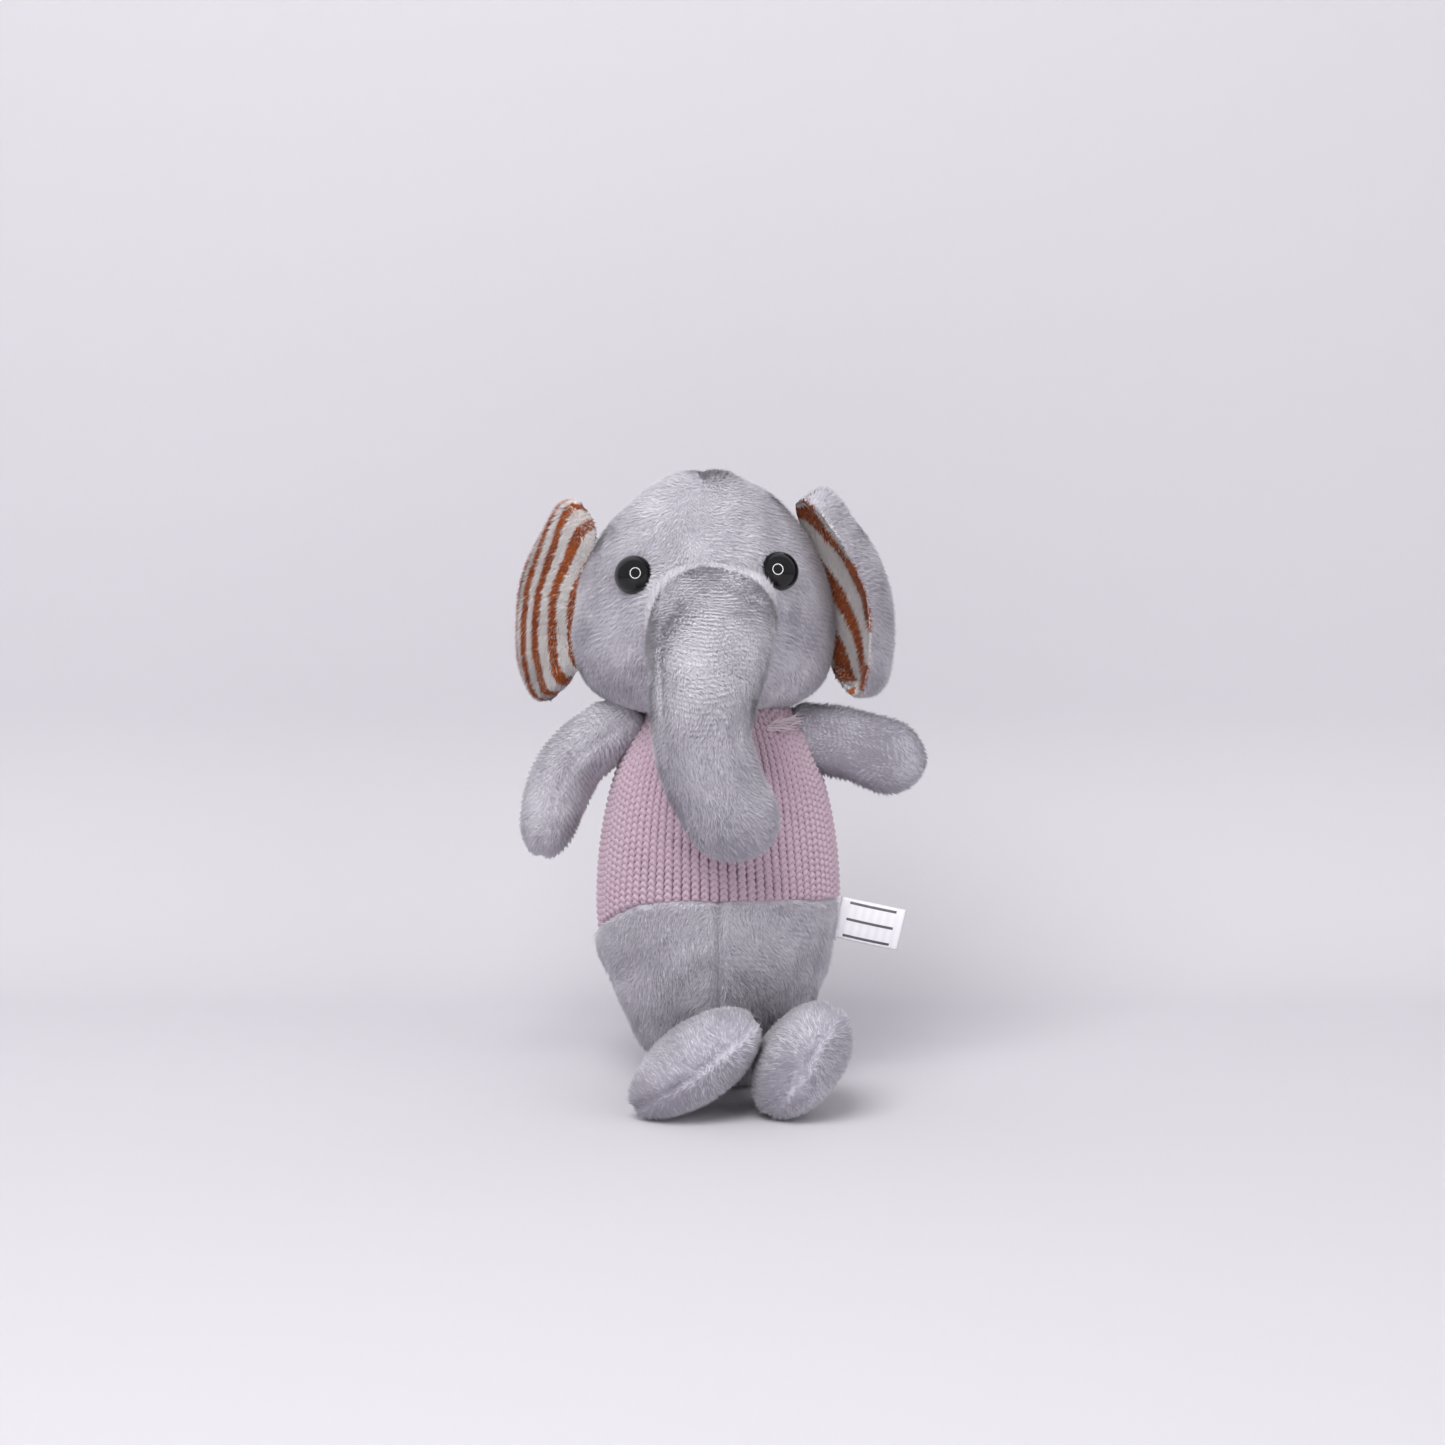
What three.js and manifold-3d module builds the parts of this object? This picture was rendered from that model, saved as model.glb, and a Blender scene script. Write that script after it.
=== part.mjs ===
// A small stuffed elephant, sitting. Millimetres, +Z up, the face towards -Y, the elephant's own left at +X.
// Every soft part is a skin of sewn panels round a filling. Each is lofted along a path through its middle.
import * as THREE from 'three';
import { mergeVertices } from 'three/addons/utils/BufferGeometryUtils.js';
import Module from 'manifold-3d';

const wasm = await Module();
wasm.setup();

// Cloth and clearances
const PLUSH = 1.6; // thickness of the plush with its pile
const KNIT = 1.3; // thickness of the ribbed knit
const GAP = 0.3; // between pieces that touch
const SEAM = 0.25; // from the middle of a seam to each panel's edge
const AROUND = 14; // facets round a soft part
const ALONG = 10; // facets along a soft part

// Torso: an egg that leans back a little, knit above the hem and plush below it
const TORSO = { x: 0.5, bottom: -3, widest: 44, apex: 100, top: 85.5, halfWidth: 28.4, depthShare: 0.88 };
const TORSO_LEAN = [5, 6, 13]; // y of the middle at the bottom, at the widest height and at the apex
const HEM = { frontHeight: 49.5, frontY: -20, slope: THREE.MathUtils.degToRad(9) };
const NECK = { x: -0.5, y: 11, radius: 8, rim: 0.2 }; // the flat cone between the body and the head

// Head: a ball that is fuller at the cheeks than at the crown
const HEAD = { x: -2.8, y: 13, bottom: 88, widest: 108, top: 145.4, halfWidth: 31.3, halfDepth: 27 };

// Eyes: domes on ribbed posts, held by washers behind the plush
const EYE = { radius: 4.6, height: 4.2, post: 1.3, length: 8, lift: 0.4 };
const EYE_POCKET = { radius: 5, clear: 0.6, depth: 20 }; // the room in the filling behind each eye
const WASHER = { radius: 4, thickness: 1.1, depth: 2.7 };
const EYES = [
  { side: 'right', x: -19.3, z: 122.5 },
  { side: 'left', x: 15, z: 123.3 },
];

// Trunk: two lengths that meet at the bend, where it curls
const TRUNK_BEND = new THREE.Vector3(-3, -31.6, 88);
const TRUNK_BEND_GAP = 2.4;

// Limbs and ears: sizes are [half width, half depth], listed from the root to the tip
const ARM_SIZES = [[6, 5.2], [7.8, 6.4], [8.5, 6.6], [7.6, 6]];
const ARM_ROUNDS = [5, 8]; // how long the rounded root and the rounded tip are
const LEG = { hipRadius: 6.4, ankleAt: 0.45, rounds: [6, 9] };
const EAR = { sizes: [[9, 1.9], [10.6, 2], [10.4, 2], [9, 2], [7, 1.8]], rounds: [9, 11], cup: 3.4, cloth: 1.55 };
const LABEL = { out: 15, tall: 10, thick: 0.5, height: 37.6, clear: 0.6, droop: THREE.MathUtils.degToRad(13) };

const COLOURS = {
  greyPlush: { color: '#b3adbb', roughness: 0.95, metalness: 0 },
  stripedPlush: { color: '#c9a08c', roughness: 0.95, metalness: 0 },
  pinkKnit: { color: '#bb9fb0', roughness: 0.9, metalness: 0 },
  filling: { color: '#eeeeea', roughness: 1, metalness: 0 },
  blackPlastic: { color: '#101114', roughness: 0.12, metalness: 0 },
  whitePlastic: { color: '#e6e6e2', roughness: 0.5, metalness: 0 },
  ribbon: { color: '#ecebf0', roughness: 0.7, metalness: 0 },
};
const materials = Object.fromEntries(
  Object.entries(COLOURS).map(([name, finish]) => [name, new THREE.MeshStandardMaterial(finish)]),
);

const elephant = new THREE.Group();
elephant.name = 'elephant';

// Booleans

function toSolid(geometry) {
  const bare = geometry.clone();
  bare.deleteAttribute('normal');
  bare.deleteAttribute('uv');
  const merged = mergeVertices(bare, 1e-4);
  const mesh = new wasm.Mesh({
    numProp: 3,
    vertProperties: new Float32Array(merged.attributes.position.array),
    triVerts: new Uint32Array(merged.index.array),
  });
  return new wasm.Manifold(mesh);
}

function toGeometry(solid) {
  const mesh = solid.getMesh();
  const geometry = new THREE.BufferGeometry();
  geometry.setAttribute('position', new THREE.BufferAttribute(mesh.vertProperties, 3));
  geometry.setIndex(new THREE.BufferAttribute(mesh.triVerts, 1));
  return geometry;
}

function block(low, high) {
  const size = new THREE.Vector3().subVectors(high, low);
  const middle = new THREE.Vector3().addVectors(low, high).multiplyScalar(0.5);
  return toSolid(new THREE.BoxGeometry(size.x, size.y, size.z).translate(middle.x, middle.y, middle.z));
}

const FAR = 200;
const above = (z) => block(new THREE.Vector3(-FAR, -FAR, z), new THREE.Vector3(FAR, FAR, FAR));
const below = (z) => block(new THREE.Vector3(-FAR, -FAR, -FAR), new THREE.Vector3(FAR, FAR, z));

function addMesh(name, shape, material) {
  const geometry = shape.isBufferGeometry ? shape : toGeometry(shape);
  const mesh = new THREE.Mesh(geometry, materials[material]);
  mesh.name = name;
  elephant.add(mesh);
  return mesh;
}

// A turned outline, as [radius, height] pairs
const ringProfile = (points) => points.map(([r, h]) => new THREE.Vector2(r, h));

// Soft forms

// A round profile that swells to 1 at `widest` (0 to 1 along the path); a power over 2 fills its end out.
function swell(widest, startPower, endPower) {
  return (t) => {
    const starting = t < widest;
    const far = starting ? (widest - t) / widest : (t - widest) / (1 - widest);
    const power = starting ? startPower : endPower;
    return Math.max(0, 1 - far ** power) ** (1 / power);
  };
}

// A sleeve profile: its sizes are read from a curve, and each end is rounded over its own length.
function sleeve(sizes, length, startRound, endRound) {
  const curve = new THREE.CatmullRomCurve3(sizes.map(([wide, deep]) => new THREE.Vector3(wide, deep, 0)));
  return (t) => {
    const fromStart = Math.min(1, (t * length) / startRound);
    const fromEnd = Math.min(1, ((1 - t) * length) / endRound);
    const rounding = Math.sqrt(1 - (1 - fromStart) ** 2) * Math.sqrt(1 - (1 - fromEnd) ** 2);
    const size = curve.getPoint(t);
    return [size.x * rounding, size.y * rounding];
  };
}

// One closed soft solid. `across` is its broad direction; `keep` leaves the half on one side of its seam.
function softForm({ path, size, across, inset = 0, cup = 0, keep = null }) {
  const geometry = new THREE.SphereGeometry(1, AROUND, ALONG);
  const spot = geometry.attributes.position;
  const length = path.getLength();
  const trim = inset / length;
  for (let i = 0; i < spot.count; i++) {
    const ball = new THREE.Vector3().fromBufferAttribute(spot, i);
    const t = THREE.MathUtils.clamp((1 - ball.y) / 2, 0, 1);
    const ring = Math.hypot(ball.x, ball.z);
    const turn = ring > 1e-6 ? [ball.x / ring, ball.z / ring] : [0, 0];
    const along = trim + t * (1 - 2 * trim);
    const [wide, deep] = size(along).map((half) => Math.max(0, half - inset));
    const closing = ring > 1e-6 ? 1 : 0;
    let u = wide * turn[0] * closing;
    let v = deep * turn[1] * closing;
    const bulge = wide > 0 ? cup * (1 - (u / wide) ** 2) * closing : 0;
    if (keep?.axis === 'u') u = keep.side * Math.max(SEAM, keep.side * u);
    if (keep?.axis === 'v') v = keep.side * Math.max(SEAM, keep.side * v);
    const tangent = path.getTangentAt(along);
    const wideWay = across.clone().addScaledVector(tangent, -across.dot(tangent)).normalize();
    const deepWay = new THREE.Vector3().crossVectors(tangent, wideWay);
    const place = path.getPointAt(along).addScaledVector(wideWay, u).addScaledVector(deepWay, v + bulge);
    spot.setXYZ(i, place.x, place.y, place.z);
  }
  return toSolid(geometry);
}

// Both halves of a skin, and its filling. `halves` names the two panels and the axis they part on.
function sewnPart({ form, cloth, halves, filling = null, trimmed = (solid) => solid, material = 'greyPlush' }) {
  const hollow = softForm({ ...form, inset: cloth });
  for (const { name, axis, side, slot } of halves) {
    const half = softForm({ ...form, keep: { axis, side } });
    addMesh(name, trimmed(half.subtract(hollow)), slot ?? material);
  }
  if (filling) addMesh(filling, trimmed(softForm({ ...form, inset: cloth + 2 * GAP })), 'filling');
}

const line = (...points) => new THREE.CatmullRomCurve3(points.map((p) => new THREE.Vector3(...p)));
const X = new THREE.Vector3(1, 0, 0);
const Y = new THREE.Vector3(0, 1, 0);
const Z = new THREE.Vector3(0, 0, 1);

// Torso

function addTorso() {
  const { x, bottom, widest, apex, top, halfWidth, depthShare } = TORSO;
  const path = line([x, TORSO_LEAN[0], bottom], [x, TORSO_LEAN[1], widest], [x, TORSO_LEAN[2], apex]);
  const swollenAt = (widest - bottom) / (apex - bottom);
  const width = swell(swollenAt, 1.5, 2);
  const depth = swell(swollenAt, 2, 2);
  const form = { path, across: X, size: (t) => [halfWidth * width(t), halfWidth * depthShare * depth(t)] };

  const hemPlane = (z) => {
    const slab = new THREE.BoxGeometry(2 * FAR, 2 * FAR, FAR).translate(0, 0, FAR / 2);
    slab.rotateX(-HEM.slope).translate(x, 0, HEM.frontHeight + HEM.frontY * Math.sin(HEM.slope) + z);
    return toSolid(slab);
  };
  const aboveHem = hemPlane(GAP / 2);
  const fromHem = hemPlane(-GAP / 2);
  const standing = above(0).intersect(below(top));
  const knitHollow = softForm({ ...form, inset: KNIT });
  const seatHollow = softForm({ ...form, inset: PLUSH });

  for (const [name, side] of [['front', -1], ['back', 1]]) {
    const half = softForm({ ...form, keep: { axis: 'v', side } }).intersect(standing);
    const knit = half.subtract(knitHollow.intersect(below(top - KNIT))).intersect(aboveHem);
    addMesh(`knit_${name}_panel`, knit, 'pinkKnit');

    const seat = half.subtract(seatHollow.intersect(above(PLUSH))).subtract(fromHem);
    for (const [hand, way] of [['left', 1], ['right', -1]]) {
      const low = new THREE.Vector3(way > 0 ? x + GAP / 2 : -FAR, -FAR, -FAR);
      const high = new THREE.Vector3(way > 0 ? FAR : x - GAP / 2, FAR, FAR);
      addMesh(`seat_${name}_${hand}_panel`, seat.intersect(block(low, high)), 'greyPlush');
    }
  }
  const filling = softForm({ ...form, inset: PLUSH + GAP });
  const room = above(PLUSH + GAP).intersect(below(top - KNIT - GAP));
  addMesh('torso_filling', filling.intersect(room), 'filling');
}

// Neck: the filling that bridges the two neck openings, a flat cone that lets the head nod

function addNeck() {
  const low = TORSO.top + 0.4;
  const high = HEAD.bottom - 0.3;
  const { radius, rim } = NECK;
  const profile = ringProfile([[0, low], [radius, high - rim], [radius, high], [0, high]]);
  const geometry = new THREE.LatheGeometry(profile, AROUND).rotateX(Math.PI / 2);
  geometry.translate(NECK.x, NECK.y, 0);
  addMesh('neck_filling', toSolid(geometry), 'filling');
}

// Head with its eyes

const headPath = line([HEAD.x, HEAD.y, HEAD.bottom], [HEAD.x, HEAD.y, HEAD.top]);
const headProfile = swell((HEAD.widest - HEAD.bottom) / (HEAD.top - HEAD.bottom), 3, 2);

function eyeFrame({ x, z }) {
  const share = headProfile((z - HEAD.bottom) / (HEAD.top - HEAD.bottom));
  const wide = HEAD.halfWidth * share;
  const deep = HEAD.halfDepth * share;
  const aside = x - HEAD.x;
  const y = HEAD.y - deep * Math.sqrt(1 - (aside / wide) ** 2);
  const rise = (z - HEAD.widest) / (HEAD.top - HEAD.widest) ** 2;
  const outward = new THREE.Vector3(aside / HEAD.halfWidth ** 2, (y - HEAD.y) / HEAD.halfDepth ** 2, rise);
  outward.normalize();
  const turn = new THREE.Quaternion().setFromUnitVectors(new THREE.Vector3(0, 1, 0), outward);
  return new THREE.Matrix4().compose(new THREE.Vector3(x, y, z), turn, new THREE.Vector3(1, 1, 1));
}

function addHead() {
  const form = {
    path: headPath,
    across: X,
    size: (t) => [HEAD.halfWidth * headProfile(t), HEAD.halfDepth * headProfile(t)],
  };
  let postHoles = null;
  let pockets = null;
  for (const eye of EYES) {
    const frame = eyeFrame(eye);
    const dome = [];
    const steps = 6;
    for (let i = 0; i <= steps; i++) {
      const angle = ((Math.PI / 2) * i) / steps;
      dome.push([EYE.radius * Math.cos(angle), EYE.lift + EYE.height * Math.sin(angle)]);
    }
    dome[steps][0] = 0;
    const outline = ringProfile([[0, -EYE.length], [EYE.post, -EYE.length], [EYE.post, EYE.lift], ...dome]);
    const eyeSolid = toSolid(new THREE.LatheGeometry(outline, AROUND)).transform(frame.elements);
    addMesh(`eye_${eye.side}`, eyeSolid, 'blackPlastic');

    const washerTop = -WASHER.depth;
    const washerLow = washerTop - WASHER.thickness;
    const bore = EYE.post + GAP;
    const washer = ringProfile([
      [bore, washerLow], [WASHER.radius, washerLow], [WASHER.radius, washerTop], [bore, washerTop], [bore, washerLow],
    ]);
    const washerSolid = toSolid(new THREE.LatheGeometry(washer, AROUND)).transform(frame.elements);
    addMesh(`eye_washer_${eye.side}`, washerSolid, 'whitePlastic');

    const hole = new THREE.CylinderGeometry(bore, bore, 2 * EYE.length, AROUND);
    const seat = new THREE.CylinderGeometry(EYE.radius + GAP, EYE.radius + GAP, 8, AROUND).translate(0, 4 + 0.1, 0);
    const pocketMiddle = EYE_POCKET.depth / 2 - EYE.length - EYE_POCKET.clear;
    const pocket = new THREE.CylinderGeometry(EYE_POCKET.radius, EYE_POCKET.radius, EYE_POCKET.depth, AROUND)
      .translate(0, pocketMiddle, 0);
    const opened = toSolid(hole).add(toSolid(seat)).transform(frame.elements);
    const hollow = toSolid(pocket).transform(frame.elements);
    postHoles = postHoles ? postHoles.add(opened) : opened;
    pockets = pockets ? pockets.add(hollow) : hollow;
  }
  const hollow = softForm({ ...form, inset: PLUSH });
  for (const [name, side] of [['left', 1], ['right', -1]]) {
    const half = softForm({ ...form, keep: { axis: 'u', side } });
    addMesh(`head_${name}_panel`, half.subtract(hollow).subtract(postHoles), 'greyPlush');
  }
  const filling = softForm({ ...form, inset: PLUSH + GAP });
  addMesh('head_filling', filling.subtract(pockets), 'filling');
}

// Trunk: flared where it is sewn to the face, then hanging down over the chest

function addTrunk() {
  const bendLow = TRUNK_BEND.z - TRUNK_BEND_GAP / 2;
  const bendHigh = TRUNK_BEND.z + TRUNK_BEND_GAP / 2;
  const lengths = [
    {
      name: 'upper',
      path: line([-0.8, -16, 113], [-1.2, -23.5, 110], [-2.4, -29.6, 101], [TRUNK_BEND.x, TRUNK_BEND.y, bendHigh]),
      sizes: [[15.5, 13.4], [14, 12.2], [12.4, 11], [11.6, 10.4]],
      rounds: [3, 9],
    },
    {
      name: 'lower',
      path: line([TRUNK_BEND.x, TRUNK_BEND.y, bendLow], [0.3, -31.4, 76.5], [4.4, -31, 68], [7.2, -30.5, 60]),
      sizes: [[11.6, 10.4], [11, 10.2], [10.4, 9.8], [9.6, 9.2]],
      rounds: [9, 9],
    },
  ];
  for (const { name, path, sizes, rounds } of lengths) {
    sewnPart({
      form: { path, across: X, size: sleeve(sizes, path.getLength(), ...rounds) },
      cloth: PLUSH,
      halves: [
        { name: `trunk_${name}_front_panel`, axis: 'v', side: 1 },
        { name: `trunk_${name}_under_panel`, axis: 'v', side: -1 },
      ],
      filling: `trunk_${name}_filling`,
    });
  }
}

// Ears: striped plush on the inside, grey on the back, no filling. Each is cupped.

function addEars() {
  const ears = [
    {
      side: 'right',
      path: line([-37.4, 19.4, 91], [-41, 24.6, 102], [-40.8, 25, 114], [-36.3, 22.8, 126], [-31, 19.4, 137]),
      across: new THREE.Vector3(-0.6, 0.8, 0),
      liningSide: 1,
    },
    {
      side: 'left',
      path: line([33.5, 8, 94], [33.4, 5.4, 104], [32.9, 5, 116], [29.6, 5.5, 127], [23.5, 8.5, 139]),
      across: new THREE.Vector3(0.33, -0.94, 0),
      liningSide: -1,
    },
  ];
  for (const { side, path, across, liningSide } of ears) {
    sewnPart({
      form: { path, across, size: sleeve(EAR.sizes, path.getLength(), ...EAR.rounds), cup: EAR.cup },
      cloth: EAR.cloth,
      halves: [
        { name: `ear_${side}_lining`, axis: 'v', side: liningSide, slot: 'stripedPlush' },
        { name: `ear_${side}_back`, axis: 'v', side: -liningSide },
      ],
    });
  }
}

// Arms and legs: each is two panels, seamed all round its broad outline

function addArms() {
  const arms = [
    { side: 'right', path: line([-25.4, 8.5, 84], [-32.4, 7.8, 76], [-37, 7, 66], [-40.2, 5.5, 55.5]), across: Y },
    { side: 'left', path: line([25.2, 9, 83], [33.6, 8.4, 80], [42.2, 7.6, 77.2], [49.6, 6.5, 75]), across: Z },
  ];
  for (const { side, path, across } of arms) {
    const outer = side === 'right' ? ['inner', 'outer'] : ['back', 'front'];
    sewnPart({
      form: { path, across, size: sleeve(ARM_SIZES, path.getLength(), ...ARM_ROUNDS) },
      cloth: PLUSH,
      halves: [
        { name: `arm_${side}_${outer[0]}_panel`, axis: 'v', side: 1 },
        { name: `arm_${side}_${outer[1]}_panel`, axis: 'v', side: -1 },
      ],
      filling: `arm_${side}_filling`,
    });
  }
}

function addLegs() {
  const legs = [
    { side: 'right', tilt: 36, hip: [-8.6, -16.6, 7.6], foot: [-5, -40.5, 12.4], broad: 18.2, thin: 8.9 },
    { side: 'left', tilt: 58, hip: [15.5, -14.8, 7.6], foot: [19.5, -40.5, 13.2], broad: 15.3, thin: 9 },
  ];
  for (const { side, tilt, hip, foot, broad, thin } of legs) {
    const angle = THREE.MathUtils.degToRad(tilt);
    const ankle = hip.map((value, i) => value + LEG.ankleAt * (foot[i] - value));
    [ankle[0], ankle[2]] = [foot[0], foot[2]];
    const path = line(hip, ankle, foot);
    const sizes = [[LEG.hipRadius, LEG.hipRadius], [0.8 * broad, 0.95 * thin], [broad, thin], [0.94 * broad, thin]];
    const form = {
      path,
      across: new THREE.Vector3(Math.cos(angle), 0, Math.sin(angle)),
      size: sleeve(sizes, path.getLength(), ...LEG.rounds),
    };
    sewnPart({
      form,
      cloth: PLUSH,
      halves: [
        { name: `leg_${side}_upper_panel`, axis: 'v', side: 1 },
        { name: `leg_${side}_lower_panel`, axis: 'v', side: -1 },
      ],
      filling: `leg_${side}_filling`,
      trimmed: (solid) => solid.intersect(above(0)),
    });
  }
}

// Sewn-in ribbon label, hanging out of the side seam

function addLabel() {
  const label = addMesh('side_label', new THREE.BoxGeometry(LABEL.out, LABEL.thick, LABEL.tall), 'ribbon');
  label.position.set(TORSO.x + TORSO.halfWidth + LABEL.clear + LABEL.out / 2, TORSO_LEAN[1], LABEL.height);
  label.rotation.y = LABEL.droop;
}

addTorso();
addNeck();
addHead();
addTrunk();
addEars();
addArms();
addLegs();
addLabel();

// The origin is on the ground, under the middle of the whole toy
const around = new THREE.Box3().setFromObject(elephant);
const middle = around.getCenter(new THREE.Vector3());
elephant.position.set(-middle.x, -middle.y, -around.min.z);
elephant.updateMatrixWorld(true);

export default elephant;
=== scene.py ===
# %% [markdown]
# # A small stuffed elephant, sitting
#
# A soft toy about 145 mm tall: grey plush with a short pile, a ribbed pink knit round its middle,
# striped plush inside the ears, glossy black eyes and a ribbon sewn into its side.
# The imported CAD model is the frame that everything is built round. It says how big each panel is, and
# which part moves on which joint. This lesson dresses that frame: each stuffed part becomes a closed
# skin that is swollen by a cloth simulation, drawn in along its seams, and then covered with pile.

# %% The frame
import math
import bpy
import numpy as np
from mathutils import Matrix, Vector


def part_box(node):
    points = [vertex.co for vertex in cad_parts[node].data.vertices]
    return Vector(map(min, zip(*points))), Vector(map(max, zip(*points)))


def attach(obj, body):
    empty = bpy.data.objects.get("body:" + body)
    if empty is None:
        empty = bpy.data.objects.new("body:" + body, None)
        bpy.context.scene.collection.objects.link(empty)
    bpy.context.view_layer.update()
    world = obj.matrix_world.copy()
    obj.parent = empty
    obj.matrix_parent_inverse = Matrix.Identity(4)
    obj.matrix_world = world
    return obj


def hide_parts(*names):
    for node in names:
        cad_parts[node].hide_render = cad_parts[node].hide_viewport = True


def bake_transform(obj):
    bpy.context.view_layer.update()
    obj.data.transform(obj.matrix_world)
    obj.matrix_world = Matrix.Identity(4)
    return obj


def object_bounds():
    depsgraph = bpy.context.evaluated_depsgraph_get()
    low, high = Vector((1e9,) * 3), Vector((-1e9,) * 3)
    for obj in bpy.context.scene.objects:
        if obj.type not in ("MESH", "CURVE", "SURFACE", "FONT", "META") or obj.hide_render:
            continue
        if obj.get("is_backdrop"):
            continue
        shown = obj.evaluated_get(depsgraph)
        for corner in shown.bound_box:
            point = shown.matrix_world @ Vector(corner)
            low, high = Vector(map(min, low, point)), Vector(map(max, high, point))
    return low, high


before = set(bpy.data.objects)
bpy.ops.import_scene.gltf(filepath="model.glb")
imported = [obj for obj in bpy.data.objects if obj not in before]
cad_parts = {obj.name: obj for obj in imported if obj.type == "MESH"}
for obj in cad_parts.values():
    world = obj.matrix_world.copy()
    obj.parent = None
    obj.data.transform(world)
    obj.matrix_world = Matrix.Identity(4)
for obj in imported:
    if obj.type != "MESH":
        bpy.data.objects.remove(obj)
cad_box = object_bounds()

# %% [markdown]
# ## Places
#
# The sewing pattern is drawn in millimetres, in its own place. The CAD then centres the whole toy on
# its base, so everything moves by the same small step. The neck filling is a small round cone whose
# middle is known in the pattern, so its box in the frame gives that step exactly.

# %% From the pattern's millimetres to the frame's metres
MM = 0.001
NECK_MIDDLE = (-0.5, 11.0)
neck_low, neck_high = (np.array(corner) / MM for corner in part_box("neck_filling"))
neck_box_middle = (neck_low + neck_high) / 2
HOME = np.array([neck_box_middle[0] - NECK_MIDDLE[0], neck_box_middle[1] - NECK_MIDDLE[1], 0.0])


def in_frame(points):
    """Pattern points in millimetres, as places in the frame in metres."""
    return (np.asarray(points, float) + HOME) * MM


def in_pattern(points):
    """Frame places in metres, as pattern points in millimetres."""
    return np.asarray(points, float) / MM - HOME


print("pattern to frame, mm:", np.round(HOME, 3))

# %% [markdown]
# ## Soft forms
#
# A stuffed limb is a tube with rounded ends, and a head is a ball that is fuller below than above.
# Both can be drawn the same way: a smooth line through the middle, and an oval round it whose size
# changes along the line. Meshing them by formula, and not with a primitive, gives even rows of faces
# that the cloth simulation likes, and says at each point how far it is from the nearest seam.

# %% Smooth lines
def curve_at(points, t):
    """A smooth line through the points, read at shares t of its way."""
    p = np.array(points, float)
    p = np.vstack([2 * p[0] - p[1], p, 2 * p[-1] - p[-2]])
    spans = len(p) - 3
    place = np.clip(np.asarray(t, float) * spans, 0, spans - 1e-9)
    i = place.astype(int)
    w = (place - i)[:, None]
    a, b, c, d = p[i], p[i + 1], p[i + 2], p[i + 3]

    def knot(start, end):
        return np.sqrt(np.maximum(np.linalg.norm(end - start, axis=1), 1e-6))[:, None]

    k0, k1, k2 = knot(a, b), knot(b, c), knot(c, d)
    leaving = ((b - a) / k0 - (c - a) / (k0 + k1) + (c - b) / k1) * k1
    arriving = ((c - b) / k1 - (d - b) / (k1 + k2) + (d - c) / k2) * k1
    cubic = 2 * b - 2 * c + leaving + arriving
    square = -3 * b + 3 * c - 2 * leaving - arriving
    return cubic * w**3 + square * w**2 + leaving * w + b


def path_through(points):
    """A line read by its travelled length, and that length."""
    dense = curve_at(points, np.linspace(0, 1, 600))
    travelled = np.append(0, np.cumsum(np.linalg.norm(np.diff(dense, axis=0), axis=1)))
    length = travelled[-1]

    def spot(t):
        return np.stack([np.interp(t * length, travelled, dense[:, k]) for k in range(3)], axis=1)

    return spot, length


def unit(vectors):
    return vectors / np.maximum(np.linalg.norm(vectors, axis=-1, keepdims=True), 1e-12)


# %% Sizes along a line
def swell(widest, start_power, end_power):
    """A round profile that swells to 1 at `widest`. A power over 2 fills its end out."""

    def share(t):
        far = np.where(t < widest, (widest - t) / widest, (t - widest) / (1 - widest))
        power = np.where(t < widest, start_power, end_power)
        return np.maximum(0, 1 - far**power) ** (1 / power)

    return share


def sleeve(sizes, length, start_round, end_round):
    """A tube profile: half widths and half depths read from a curve, with both ends rounded."""

    def halves(t):
        from_start = np.minimum(1, t * length / start_round)
        from_end = np.minimum(1, (1 - t) * length / end_round)
        rounding = np.sqrt(1 - (1 - from_start) ** 2) * np.sqrt(1 - (1 - from_end) ** 2)
        return curve_at(sizes, t) * rounding[:, None]

    return halves


# %% One soft form
FAR_FROM_SEAM = 99.0  # millimetres, where no seam is near
LOOK_AHEAD = 0.004  # share of the line on each side of a point that gives its direction


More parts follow.
